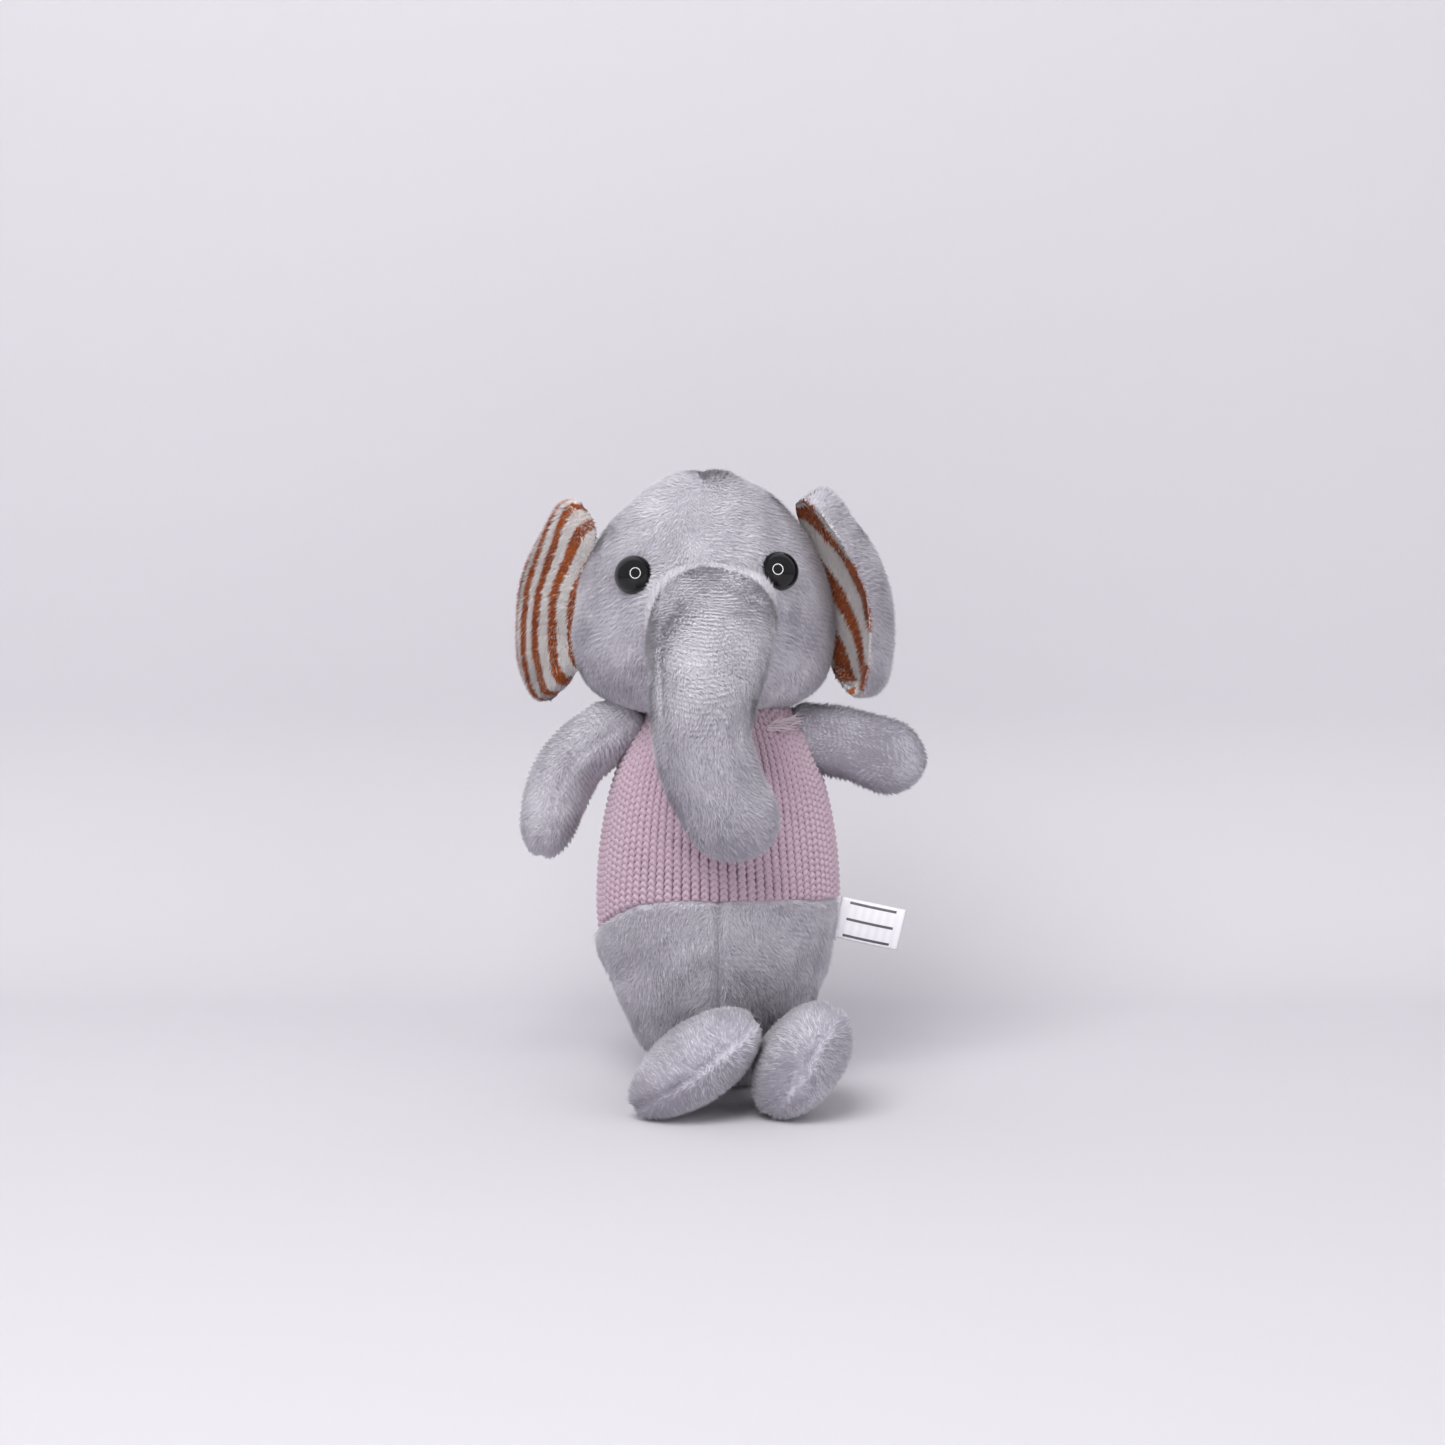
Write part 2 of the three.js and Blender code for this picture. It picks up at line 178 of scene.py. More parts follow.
def soft_form(points, size, across, rings, turns, seams=(0.0, math.pi), inset=0.0, cup=0.0,
              first=0.0, root=0.0):
    """A grid of points round a line, with what later steps need to know at each of them.

    `size` gives the half widths and depths along the line, and `across` is the way its width runs.
    `seams` are angles round it, and `first` is the angle of its first column. `inset` makes it smaller
    all round, `cup` bends its broad sides one way, and `root` takes width off one edge.
    """
    spot, length = path_through(points)
    share = (1 - np.cos(np.linspace(0, math.pi, rings + 2))) / 2
    trim = inset / length
    along = trim + share * (1 - 2 * trim)
    halves = np.maximum(size(along) - inset, 0)
    halves[[0, -1]] = 0
    tangent = unit(spot(np.minimum(along + LOOK_AHEAD, 1)) - spot(np.maximum(along - LOOK_AHEAD, 0)))
    across = np.array(across, float)
    broad = unit(across - (tangent @ across)[:, None] * tangent)
    deep = np.cross(tangent, broad)
    turn = first + np.arange(turns) * 2 * math.pi / turns
    u = halves[:, :1] * np.cos(turn)
    v = halves[:, 1:] * np.sin(turn)
    u = u - root * np.maximum(0, -np.cos(turn)) * halves[:, :1] / np.maximum(halves[:, 0].max(), 1e-9)
    bulge = cup * np.sin(turn) ** 2 * (halves[:, :1] > 0)
    grid = spot(along)[:, None] + broad[:, None] * u[..., None] + deep[:, None] * (v + bulge)[..., None]

    seam = np.full(grid.shape[:2], FAR_FROM_SEAM)
    for angle in seams:
        speed = np.hypot(halves[:, 0] * math.sin(angle), halves[:, 1] * math.cos(angle))
        away = np.abs((turn - angle + math.pi) % (2 * math.pi) - math.pi)
        seam = np.minimum(seam, away * speed[:, None])
    rise = np.gradient(grid, axis=0)
    travel = np.cumsum(np.linalg.norm(rise, axis=2), axis=0)
    facts = {
        "seam": seam,
        "travel": travel,
        "along": np.repeat(along[:, None], turns, axis=1),
        "across": u,
        "facing": np.sin(turn) * np.ones_like(u),
        "run": unit(rise),
        "out_of_seam": deep[:, None] * np.sign(np.round(v, 6))[..., None],
    }
    return {"grid": grid, "facts": facts}


def one_point_ends(values):
    """Grid values as a list of vertices: the first ring is one point, then rings, then one point."""
    inner = values[1:-1].reshape((-1,) + values.shape[2:])
    return np.concatenate([values[0].mean(0, keepdims=True), inner, values[-1].mean(0, keepdims=True)])


# %% [markdown]
# ## Meshes from grids
#
# Rows of a grid become rings of four-sided faces, and the two ends close with a fan of triangles.
# Blender can't know which way such faces look, so the volume that they enclose is summed up: if it is
# negative, all of them are turned round. Facts such as the distance to the seam go on as attributes,
# which a Subdivision Surface carries to its new points.

# %% Meshes with facts on them
scene = bpy.context.scene
bpy.ops.object.select_all(action="DESELECT")


def volume_of(points, faces):
    """Six times the volume inside the faces, negative if they look inwards."""
    corners = points[np.array([f[:3] for f in faces])]
    volume = np.einsum("ij,ij->i", corners[:, 0], np.cross(corners[:, 1], corners[:, 2])).sum()
    for face in faces:
        if len(face) == 4:
            a, c, d = points[face[0]], points[face[2]], points[face[3]]
            volume += a @ np.cross(c, d)
    return volume


def add_piece(name, points, faces, smooth=True):
    """A new object at the origin, its points given in the frame's metres."""
    mesh = bpy.data.meshes.new(name)
    mesh.from_pydata([tuple(p) for p in points], [], [tuple(f) for f in faces])
    mesh.validate()
    if smooth:
        mesh.shade_smooth()
    piece = bpy.data.objects.new(name, mesh)
    scene.collection.objects.link(piece)
    return piece


def set_fact(mesh, name, values):
    kind = "FLOAT_VECTOR" if values.ndim == 2 else "FLOAT"
    attribute = mesh.attributes.new(name, kind, "POINT")
    attribute.data.foreach_set("vector" if values.ndim == 2 else "value", values.astype(np.float32).ravel())


def get_fact(mesh, name):
    attribute = mesh.attributes[name]
    wide = 3 if attribute.data_type == "FLOAT_VECTOR" else 1
    values = np.empty(len(mesh.vertices) * wide, np.float32)
    attribute.data.foreach_get("vector" if wide == 3 else "value", values)
    return values.reshape(-1, 3).astype(float) if wide == 3 else values.astype(float)


def get_points(mesh):
    values = np.empty(len(mesh.vertices) * 3, np.float32)
    mesh.vertices.foreach_get("co", values)
    return values.reshape(-1, 3).astype(float)


def set_points(mesh, points):
    mesh.vertices.foreach_set("co", points.astype(np.float32).ravel())
    mesh.update()


def get_normals(mesh):
    values = np.empty(len(mesh.vertices) * 3, np.float32)
    mesh.vertex_normals.foreach_get("vector", values)
    return values.reshape(-1, 3).astype(float)


def push_out(piece, distance):
    """Moves each point along its own normal, in millimetres."""
    mesh = piece.data
    set_points(mesh, get_points(mesh) + get_normals(mesh) * (distance * MM)[:, None])


def skin_from(name, form):
    """A closed piece from a soft form."""
    rings, turns = form["grid"].shape[:2]
    points = in_frame(one_point_ends(form["grid"]))
    ring = 1 + np.arange((rings - 2) * turns).reshape(rings - 2, turns)
    beside = np.roll(ring, -1, axis=1)
    quads = np.stack([ring[:-1], ring[1:], beside[1:], beside[:-1]], axis=-1).reshape(-1, 4).tolist()
    last = len(points) - 1
    fans = [[0, a, b] for a, b in zip(ring[0], beside[0])]
    fans += [[last, b, a] for a, b in zip(ring[-1], beside[-1])]
    faces = quads + fans
    if volume_of(points, faces) < 0:
        faces = [face[::-1] for face in faces]
    piece = add_piece(name, points, faces)
    for fact, values in form["facts"].items():
        set_fact(piece.data, fact, one_point_ends(values))
    return piece


def apply_modifier(piece, modifier):
    bpy.ops.object.select_all(action="DESELECT")
    bpy.context.view_layer.objects.active = piece
    piece.select_set(True)
    bpy.ops.object.modifier_apply(modifier=modifier.name)
    piece.select_set(False)


# %% [markdown]
# ## Stuffing
#
# Filling pushes a sewn skin outwards, and the seam allowance holds its edge in, so a stuffed part is
# fullest between its seams. Blender's Cloth does this with a pressure inside a closed mesh. Cloth is
# made for clothes, not for a toy the size of a hand, so the mesh is made ten times larger while it
# runs. Gravity is off, because filling and not weight shapes it. Each point may move only a little,
# which keeps neighbouring parts from growing into each other.

# %% Cloth with a pressure inside
CLOTH_SCALE = 10
CLOTH_FRAMES = 20
DRAWN_IN_WIDTH = 4.0  # millimetres on each side of a seam that its thread pulls together


def stuff(piece, cap, pull):
    """Swells the piece with Cloth. `cap` is how far a point may move, in millimetres, and `pull` is
    the share that the cloth shrinks by at its seams."""
    rest = get_points(piece.data)
    middle = rest.mean(0)
    set_points(piece.data, (rest - middle) * CLOTH_SCALE)
    drawn_in = piece.vertex_groups.new(name="drawn in")
    for index, away in enumerate(get_fact(piece.data, "seam")):
        drawn_in.add([index], float(np.clip(1 - away / DRAWN_IN_WIDTH, 0, 1)), "REPLACE")
    cloth = piece.modifiers.new("Stuffing", "CLOTH")
    cloth.settings.quality = 6
    cloth.settings.mass = 0.3
    cloth.settings.tension_stiffness = 20
    cloth.settings.compression_stiffness = 20
    cloth.settings.bending_stiffness = 1.0
    cloth.settings.use_pressure = True
    cloth.settings.uniform_pressure_force = 4
    cloth.settings.effector_weights.gravity = 0
    cloth.settings.vertex_group_shrink = drawn_in.name
    cloth.settings.shrink_min = 0.0
    cloth.settings.shrink_max = pull
    cloth.point_cache.frame_start = 1
    cloth.point_cache.frame_end = CLOTH_FRAMES
    for number in range(1, CLOTH_FRAMES + 1):
        scene.frame_set(number)
    swollen = piece.evaluated_get(bpy.context.evaluated_depsgraph_get()).to_mesh()
    moved = get_points(swollen) / CLOTH_SCALE + middle - rest
    piece.evaluated_get(bpy.context.evaluated_depsgraph_get()).to_mesh_clear()
    piece.modifiers.remove(cloth)
    piece.vertex_groups.remove(drawn_in)
    scene.frame_set(1)
    moved = np.nan_to_num(moved)
    distance = np.linalg.norm(moved, axis=1)
    limit = np.minimum(1, cap * MM / np.maximum(distance, 1e-9))
    set_points(piece.data, rest + moved * limit[:, None])
    print(f"{piece.name}: stuffed, moved {distance.mean() / MM:.2f} mm on average, "
          f"{distance.max() / MM:.2f} at most")


def refine(piece, levels=2):
    """Smooth fine faces in place of the coarse ones that the cloth used."""
    rounding = piece.modifiers.new("Rounding", "SUBSURF")
    rounding.levels = levels
    rounding.render_levels = levels
    apply_modifier(piece, rounding)


# %% [markdown]
# ## Seams and soft unevenness
#
# A seam shows as a narrow valley, with small puckers beside it where each stitch pulls. Between the
# seams the filling is never quite even. Both are moved along the surface's own normal, so they are
# real shape in the mesh. The unevenness adds up a few waves that run in fixed
# directions: it is smooth, costs little, and is the same on each run.

# %% Waves, seams and lumps
def bell(away, width, power=2):
    """A soft bump: 1 in the middle, and nearly 0 at twice its width."""
    return np.exp(-((away / width) ** power))


def drift(points, size, seed, waves=10):
    """Smooth unevenness between about -1 and 1. `size` is the width of a lump, in millimetres."""
    draw = np.random.default_rng(seed)
    heading = unit(draw.normal(size=(waves, 3))) * draw.uniform(0.7, 1.4, (waves, 1))
    phase = draw.uniform(0, 2 * math.pi, waves)
    return np.sin(points @ heading.T * (math.pi / size) + phase).sum(1) / math.sqrt(waves)


STITCH_PITCH = 2.8
SEAM_WIDTH = 0.9
PUCKER_REACH = 2.6
RIDGE_AWAY, RIDGE_WIDTH = 1.9, 1.1  # the seam allowance shows as a low ridge beside the seam


def sew(piece, seam_depth, lumps=0.3, seed=1, pucker=0.12, ridge=0.0, strength=1.0):
    """Draws the seams in and makes the filling a little uneven, in millimetres."""
    mesh = piece.data
    points = in_pattern(get_points(mesh))
    away = get_fact(mesh, "seam")
    travel = get_fact(mesh, "travel")
    valley = -seam_depth * bell(away, SEAM_WIDTH)
    beside = bell(away, PUCKER_REACH) * (1 - bell(away, SEAM_WIDTH))
    stitches = np.cos(2 * math.pi * travel / STITCH_PITCH + 1.5 * drift(points, 9, seed + 50))
    proud = ridge * bell(away - RIDGE_AWAY, RIDGE_WIDTH)
    uneven = lumps * (0.7 * drift(points, 13, seed) + 0.3 * drift(points, 6, seed + 1))
    push_out(piece, strength * (valley + proud + pucker * beside * stitches) + uneven)


# %% [markdown]
# ## Finishes
#
# Every colour is written as it looks on a screen, and one function turns it into the linear values
# that the renderer works with. Another adds a node with its settings and its links.

# %% Colours and nodes
def linear(hex_colour):
    shares = [int(hex_colour[i : i + 2], 16) / 255 for i in (1, 3, 5)]
    return (*[s / 12.92 if s <= 0.04045 else ((s + 0.055) / 1.055) ** 2.4 for s in shares], 1.0)


def add_node(tree, kind, inputs=None, **settings):
    """Adds a node. An input is given a number or colour, or another node's output to link."""
    made = tree.nodes.new(kind)
    for name, value in settings.items():
        setattr(made, name, value)
    for name, value in (inputs or {}).items():
        if isinstance(value, bpy.types.NodeSocket):
            tree.links.new(value, made.inputs[name])
        else:
            made.inputs[name].default_value = value
    return made


def new_finish(name, **shader_settings):
    """A material with one Principled shader: its node tree and that shader."""
    finish = bpy.data.materials.new(name)
    finish.use_nodes = True
    tree = finish.node_tree
    shader = tree.nodes["Principled BSDF"]
    for setting, value in shader_settings.items():
        shader.inputs[setting.replace("_", " ")].default_value = value
    return finish, tree, shader


def mottle(tree, shader, size_mm, detail, dark, light, strength, height_mm):
    """Two close shades in a fine noise of a real size, which also raises the surface a little."""
    where = add_node(tree, "ShaderNodeTexCoord")
    noise = add_node(tree, "ShaderNodeTexNoise", {
        "Vector": where.outputs["Object"], "Scale": 1 / (size_mm * MM), "Detail": detail})
    tint = add_node(tree, "ShaderNodeMix", {
        "Factor": noise.outputs["Fac"], 6: linear(dark), 7: linear(light)}, data_type="RGBA")
    bump = add_node(tree, "ShaderNodeBump", {
        "Height": noise.outputs["Fac"], "Strength": strength, "Distance": height_mm * MM})
    tree.links.new(tint.outputs[2], shader.inputs["Base Color"])
    tree.links.new(bump.outputs["Normal"], shader.inputs["Normal"])
    return noise


# %% [markdown]
# ### Plush
#
# Plush is a knitted polyester backing with a dense pile of cut loops. Here the pile is modelled: many
# thousands of fine tufts. Their colour is the dyed fibre's, in a middle tone, a paler one and one in
# shade. Which tufts are paler or darker is partly random and partly painted light and painted shade:
# paler on the rows and on lit tops, darker between the rows and on parts that lie in shade. Sheen gives
# the pale edge that soft fibres have where they are seen against the light. Between the tufts the
# backing is painted darker than the pile, as painted shade where little light gets down.

# %% Pile finishes: cut polyester fibres
def pile_finish(name, colour, sheen=0.35):
    finish, _, _ = new_finish(
        name,
        Base_Color=linear(colour),
        Roughness=0.85,
        Specular_IOR_Level=0.25,
        Sheen_Weight=sheen,
        Sheen_Roughness=0.45,
    )
    return finish


# Three copies of one grey: a middle tone, a paler one and one in shade. The paler and the darker copies stand
# partly for random tone and partly for painted light and painted shade.
GREY_PILE = [
    pile_finish("grey plush pile lying over", "#DAD6E0"),
    pile_finish("grey plush pile standing", "#EBE8F0"),
    pile_finish("grey plush pile in shade", "#B3AEBB"),
]
STRIPE_PILE = [
    pile_finish("cream plush pile", "#FFFCFA"),
    pile_finish("cream plush pile in shade", "#FBF3EF"),
    pile_finish("rust plush pile", "#C0601F", 0.1),
    pile_finish("rust plush pile in shade", "#98441A", 0.1),
]

# %% Backing finishes: knitted polyester, seen between the tufts
BACKING_LOOP_MM = 0.9


def backing_finish(name, light, dark):
    finish, tree, shader = new_finish(name, Roughness=0.95, Specular_IOR_Level=0.2, Sheen_Weight=0.2)
    mottle(tree, shader, BACKING_LOOP_MM, 3.0, dark, light, 0.5, 0.3)
    return finish


# Both backings are a little darker than their pile: painted shade for the gaps between the tufts.
GREY_BACKING = backing_finish("grey plush backing", "#CFCBD6", "#B3AEBA")
CREAM_BACKING = backing_finish("cream plush backing", "#FBF1EC", "#E6D6CD")

# %% [markdown]
# ## Pile
#
# Each tuft is a thin spike of four faces, rooted just under the skin. Particle hair would look the
# same in a render, but would not be faces of the mesh. The tufts lean along the nap, the direction
# that the pile lies in. They gather in fine rows across it, as on the real cloth, and
# part at the seams. Their normals follow the skin, so that a surface of spikes shades like one soft
# surface, with a little scatter for the grain.

# %% Tufts on a skin
ROW_PITCH = 1.15
MOST_TUFTS = 49_500  # with four faces each, a piece stays under 200,000 triangles
ROOT_DEPTH = 0.15  # a tuft starts this far under the skin
GROUND_GAP = 0.06  # and its tip is bent up where it would go into the ground


def scatter(mesh, count, keep, draw):
    """Places spread evenly over the skin, as triangle corners and weights."""
    mesh.calc_loop_triangles()
    corners = np.empty(len(mesh.loop_triangles) * 3, np.int32)
    mesh.loop_triangles.foreach_get("vertices", corners)
    corners = corners.reshape(-1, 3)
    points = get_points(mesh)
    p = points[corners]
    area = np.linalg.norm(np.cross(p[:, 1] - p[:, 0], p[:, 2] - p[:, 0]), axis=1) / 2
    area = area * keep[corners].mean(1)
    ends = np.cumsum(area)
    at = np.searchsorted(ends, (np.arange(count) + draw.uniform(0, 1, count)) * ends[-1] / count)
    chosen = corners[np.minimum(at, len(corners) - 1)]
    a, b = np.sqrt(draw.uniform(0, 1, count)), draw.uniform(0, 1, count)
    weights = np.stack([1 - a, a * (1 - b), a * b], axis=1)
    return chosen, weights, ends[-1] / MM**2


def pile_on(name, skin, per_mm2, keep, nap, finishes, shade, seed, length=1.45, width=0.28, lean=1.08):
    """A piece of tufts. `keep` and `nap` are given at the skin's points; `shade` picks a finish.

    `length` and `width` are a tuft's, and `lean` is how far it lies over, in radians.
    """
    draw = np.random.default_rng(seed)
    mesh = skin.data
    _, _, area = scatter(mesh, 10, keep, np.random.default_rng(0))
    count = int(min(area * per_mm2, MOST_TUFTS))
    chosen, weights, area = scatter(mesh, count, keep, draw)

    def read(values):
        if values.ndim == 1:
            return (values[chosen] * weights).sum(1)
        return np.einsum("ij,ijk->ik", weights, values[chosen])

    root = in_pattern(read(get_points(mesh)))
    up = unit(read(get_normals(mesh)))
    lay = read(nap)
    lay = unit(lay - (lay * up).sum(1, keepdims=True) * up)
    aside = np.cross(up, lay)
    swirl = 0.5 * drift(root, 11, seed + 3) + 0.25 * drift(root, 4, seed + 4) + draw.normal(0, 0.22, count)
    lay, aside = (
        lay * np.cos(swirl)[:, None] + aside * np.sin(swirl)[:, None],
        aside * np.cos(swirl)[:, None] - lay * np.sin(swirl)[:, None],
    )
    away = read(get_fact(mesh, "seam"))
    travel = read(get_fact(mesh, "travel"))
    rows = travel / ROW_PITCH + 0.35 * drift(root, 5, seed + 5)
    in_row = np.cos(2 * math.pi * rows)
    tilt = read(lean * np.ones(len(mesh.vertices))) + 0.16 * drift(root, 8, seed + 6)
    tilt = tilt + draw.normal(0, 0.1, count) - 0.12 * in_row
    tall = length * (1 + 0.16 * in_row + draw.normal(0, 0.1, count)) * np.clip(0.55 + away / 3, 0.55, 1)
    gather = -0.24 * np.sin(2 * math.pi * rows)
    tip = root + tall[:, None] * (up * np.cos(tilt)[:, None] + lay * np.sin(tilt)[:, None])
    tip = tip + lay * gather[:, None] + aside * draw.normal(0, 0.08, (count, 1))
    sunk = root - up * ROOT_DEPTH
    half = (width / 2) * draw.uniform(0.8, 1.25, (count, 1))
    base = [sunk + aside * half, sunk - aside * half, sunk - lay * half * 1.2]
    points = np.stack([*base, tip], axis=1).reshape(-1, 3)
    points[:, 2] = np.maximum(points[:, 2], GROUND_GAP)
    start = np.arange(count)[:, None] * 4
    faces = (start[:, :, None] + np.array([[0, 3, 1], [1, 3, 2], [2, 3, 0], [0, 1, 2]])).reshape(-1, 3)

    pile_mesh = bpy.data.meshes.new(name)
    pile_mesh.vertices.add(len(points))
    pile_mesh.vertices.foreach_set("co", in_frame(points).astype(np.float32).ravel())
    pile_mesh.loops.add(len(faces) * 3)
    pile_mesh.loops.foreach_set("vertex_index", faces.astype(np.int32).ravel())
    pile_mesh.polygons.add(len(faces))
    pile_mesh.polygons.foreach_set("loop_start", np.arange(0, len(faces) * 3, 3, dtype=np.int32))
    for finish in finishes:
        pile_mesh.materials.append(finish)
    picked = shade(root, in_row, read, draw)
    pile_mesh.polygons.foreach_set("material_index", np.repeat(picked, 4).astype(np.int32))
    pile_mesh.update(calc_edges=True)
    pile_mesh.shade_smooth()
    soft = up + 0.25 * lay + draw.normal(0, 0.16, (count, 3))
    soft = unit(soft - (0.16 * np.sin(2 * math.pi * rows))[:, None] * lay)
    pile_mesh.normals_split_custom_set_from_vertices(np.repeat(soft, 4, axis=0).tolist())
    piece = bpy.data.objects.new(name, pile_mesh)
    scene.collection.objects.link(piece)
    print(f"{name}: {count} tufts on {area:.0f} square mm")
    return piece


# %% Which tufts are pale and which are in shade
PLAIN_PATCHES = [(0.6, 9, 31), (0.4, 3.5, 32)]  # share, size in millimetres and seed of each wave


def tuft_tone(root, in_row, draw, patches=PLAIN_PATCHES, on_row=0.9):
    """Paler on the rows and darker between them, as painted light and painted shade; paler and darker in soft
    patches, and a little at random.
    """
    tone = sum(share * drift(root, size, seed) for share, size, seed in patches)
    return tone + on_row * in_row + draw.normal(0, 0.5, len(root))


def pick_shade(tone, pale=0.8, dark=-0.85):
    """The finish's number: 0 is the middle tone, 1 the paler one and 2 the one in shade."""
    return np.where(tone > pale, 1, np.where(tone < dark, 2, 0))


def grey_shade(root, in_row, read, draw):
    """Mostly the middle shade."""
    return pick_shade(tuft_tone(root, in_row, draw))


def darker_painted_shade(root, in_row, read, draw):
    """On the feet and one arm many more of the tufts take the finish in shade and few the paler one: painted
    shade over these parts.
    """
    return pick_shade(tuft_tone(root, in_row, draw, [(0.5, 7, 35)]), pale=1.9, dark=0.6)


def head_shade(root, in_row, read, draw):
    """Painted light and painted shade on the right side of the head: paler tufts towards the crown, darker
    ones on the cheek below it.
    """
    on_the_side = np.clip(0.5 - root[:, 0] / 24, 0, 1)
    # painted light towards the crown and painted shade on the cheek
    painted_light_and_shade = np.interp(root[:, 2], [100, 118, 134], [-0.8, 0, 0.9]) * on_the_side
    return pick_shade(tuft_tone(root, in_row, draw) + painted_light_and_shade)


def trunk_shade(root, in_row, read, draw):
    """Painted light and painted shade: the trunk's tufts are paler towards its top and darker towards its
    lower end.
    """
    # painted light at the top of the trunk and painted shade at its lower end
    painted_light_and_shade = np.interp(root[:, 2], [68, 88, 112], [-1.4, 0.0, 1.2])
    return pick_shade(tuft_tone(root, in_row, draw, [(0.5, 9, 31)], on_row=0.7) + painted_light_and_shade)


print("grey tufts come in", len(GREY_PILE), "shades, striped ones in", len(STRIPE_PILE))

# %% [markdown]
# ## Where parts meet
#
# No tufts are needed where a limb goes into the body or the trunk into the face. The head and the
# torso have simple formulas, so a point can be tested against them directly.

# %% The head's and the torso's own sizes
PILE_HEIGHT = 0.85  # the pile stands about this far above the skin
HEAD_MIDDLE = np.array([-2.8, 13.0])
HEAD_BOTTOM, HEAD_WIDEST, HEAD_TOP = 88.0, 108.0, 145.4
HEAD_HALF = np.array([31.9, 27.0])
head_share = swell((HEAD_WIDEST - HEAD_BOTTOM) / (HEAD_TOP - HEAD_BOTTOM), 3, 1.86)
TORSO_BOTTOM, TORSO_WIDEST, TORSO_APEX = -3.0, 44.0, 100.0
TORSO_AXIS = (0.5, 6)  # its middle at its widest
TORSO_SHOULDER = 92  # no limb is sewn on above this
TORSO_LINE = [(0.5, 5, TORSO_BOTTOM), (*TORSO_AXIS, TORSO_WIDEST), (0.5, 13, TORSO_APEX)]
TORSO_HALF = np.array([28.4, 28.4 * 0.88])
torso_swollen = (TORSO_WIDEST - TORSO_BOTTOM) / (TORSO_APEX - TORSO_BOTTOM)
torso_width = swell(torso_swollen, 1.9, 2)
torso_depth = swell(torso_swollen, 2, 2)


def torso_size(t):
    return np.stack([TORSO_HALF[0] * torso_width(t), TORSO_HALF[1] * torso_depth(t)], axis=1)


def depth_in_oval(x, y, half):
    """Below 1 inside an oval, 1 on it."""
    return np.hypot(x / np.maximum(half[:, 0], 1e-6), y / np.maximum(half[:, 1], 1e-6))


def head_depth(points):
    """Below 1 inside the head, 1 on its surface."""
    t = np.clip((points[:, 2] - HEAD_BOTTOM) / (HEAD_TOP - HEAD_BOTTOM), 0, 1)
    half = HEAD_HALF * head_share(t)[:, None]
    return depth_in_oval(points[:, 0] - HEAD_MIDDLE[0], points[:, 1] - HEAD_MIDDLE[1], half)


def in_torso(points, reach):
    t = np.clip((points[:, 2] - TORSO_BOTTOM) / (TORSO_APEX - TORSO_BOTTOM), 0, 1)
    middle = path_through(TORSO_LINE)[0](t)
    inside = depth_in_oval(points[:, 0] - middle[:, 0], points[:, 1] - middle[:, 1], torso_size(t)) < reach
    return inside & (points[:, 2] < TORSO_SHOULDER)


def settle(piece, body=None, bend=None, stands_for=()):
    """Puts a finished piece on its body, or, given a `bend`, bakes its place into its points; hides the CAD
    nodes it stands for.
    """
    if bend:
        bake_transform(piece)
    else:
        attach(piece, body)
    if stands_for:
        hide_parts(*stands_for)


def stuffed_skin(name, form, cap=1.1, pull=0.03, **sewing):
    """A skin that is stuffed, smoothed and sewn, with the grey backing as its first finish."""
    skin = skin_from(name, form)
    stuff(skin, cap, pull)
    refine(skin)
    sew(skin, **sewing)
    skin.data.materials.append(GREY_BACKING)
    return skin


def on_the_ground(piece, height):
    """Flattens the piece where it rests on the ground."""
    points = get_points(piece.data)
    points[:, 2] = np.maximum(points[:, 2], height * MM)
    set_points(piece.data, points)


# %% [markdown]
# ## Torso
#
# The body is one stuffed egg. Its lower part is grey plush in four panels, with a seam down the
# middle of the front where the nap parts, and its upper part is under the knit. It is flat only
# underneath, where the toy sits on it.

# %% The torso's skin
torso_form = soft_form(
    TORSO_LINE, torso_size, (1, 0, 0), 34, 48, seams=(0.0, math.pi, math.pi / 2, -math.pi / 2),
    inset=0.1,
)
torso_skin = stuffed_skin(
    "torso_skin", torso_form, cap=0.6, pull=0.04, seam_depth=1.1, lumps=0.35, seed=3, ridge=0.4,
)
UNDER_PILE = 0.5  # the skin stays this far above the ground, for the pile under it
on_the_ground(torso_skin, UNDER_PILE)

# %% Where the hem runs
HEM_FRONT, HEM_SLOPE = 44.8, 0.158  # its height where y is 0, and how much it falls towards the back
HEM_DIP, HEM_DIP_WIDTH = 8.0, 0.6  # it hangs lower on the right side, over an angle of this width
HEM_WAVE, HEM_WAVES = 0.15, 13


def torso_place(turn, height, out):
    """Points on the torso at the given turns and heights, `out` millimetres outside its surface."""
    spot, _ = path_through(TORSO_LINE)
    t = np.clip((height - TORSO_BOTTOM) / (TORSO_APEX - TORSO_BOTTOM), 0, 1).ravel()
    middle = spot(t).reshape(turn.shape + (3,))
    half = torso_size(t).reshape(turn.shape + (2,)) + np.asarray(out)[..., None]
    x = middle[..., 0] + half[..., 0] * np.cos(turn)
    y = middle[..., 1] + half[..., 1] * np.sin(turn)
    return np.stack([x, y, height * np.ones_like(x)], axis=-1)


def hem_at(turn):
    """The hem's height at each turn. It depends on y, which depends on the height, so it is worked out
    again from its own result until it stays the same."""
    height = np.full_like(turn, HEM_FRONT)
    dip = HEM_DIP * bell((turn + 2 * math.pi) % (2 * math.pi) - math.pi, HEM_DIP_WIDTH)
    for _ in range(4):
        y = torso_place(turn, height, np.zeros_like(turn))[..., 1]
        height = HEM_FRONT - HEM_SLOPE * y - dip + HEM_WAVE * np.sin(turn * HEM_WAVES)
    return height


hem_heights = hem_at(np.linspace(-math.pi, math.pi, 48, endpoint=False))
print("hem between", np.round(hem_heights.min(), 1), "and", np.round(hem_heights.max(), 1), "mm high")


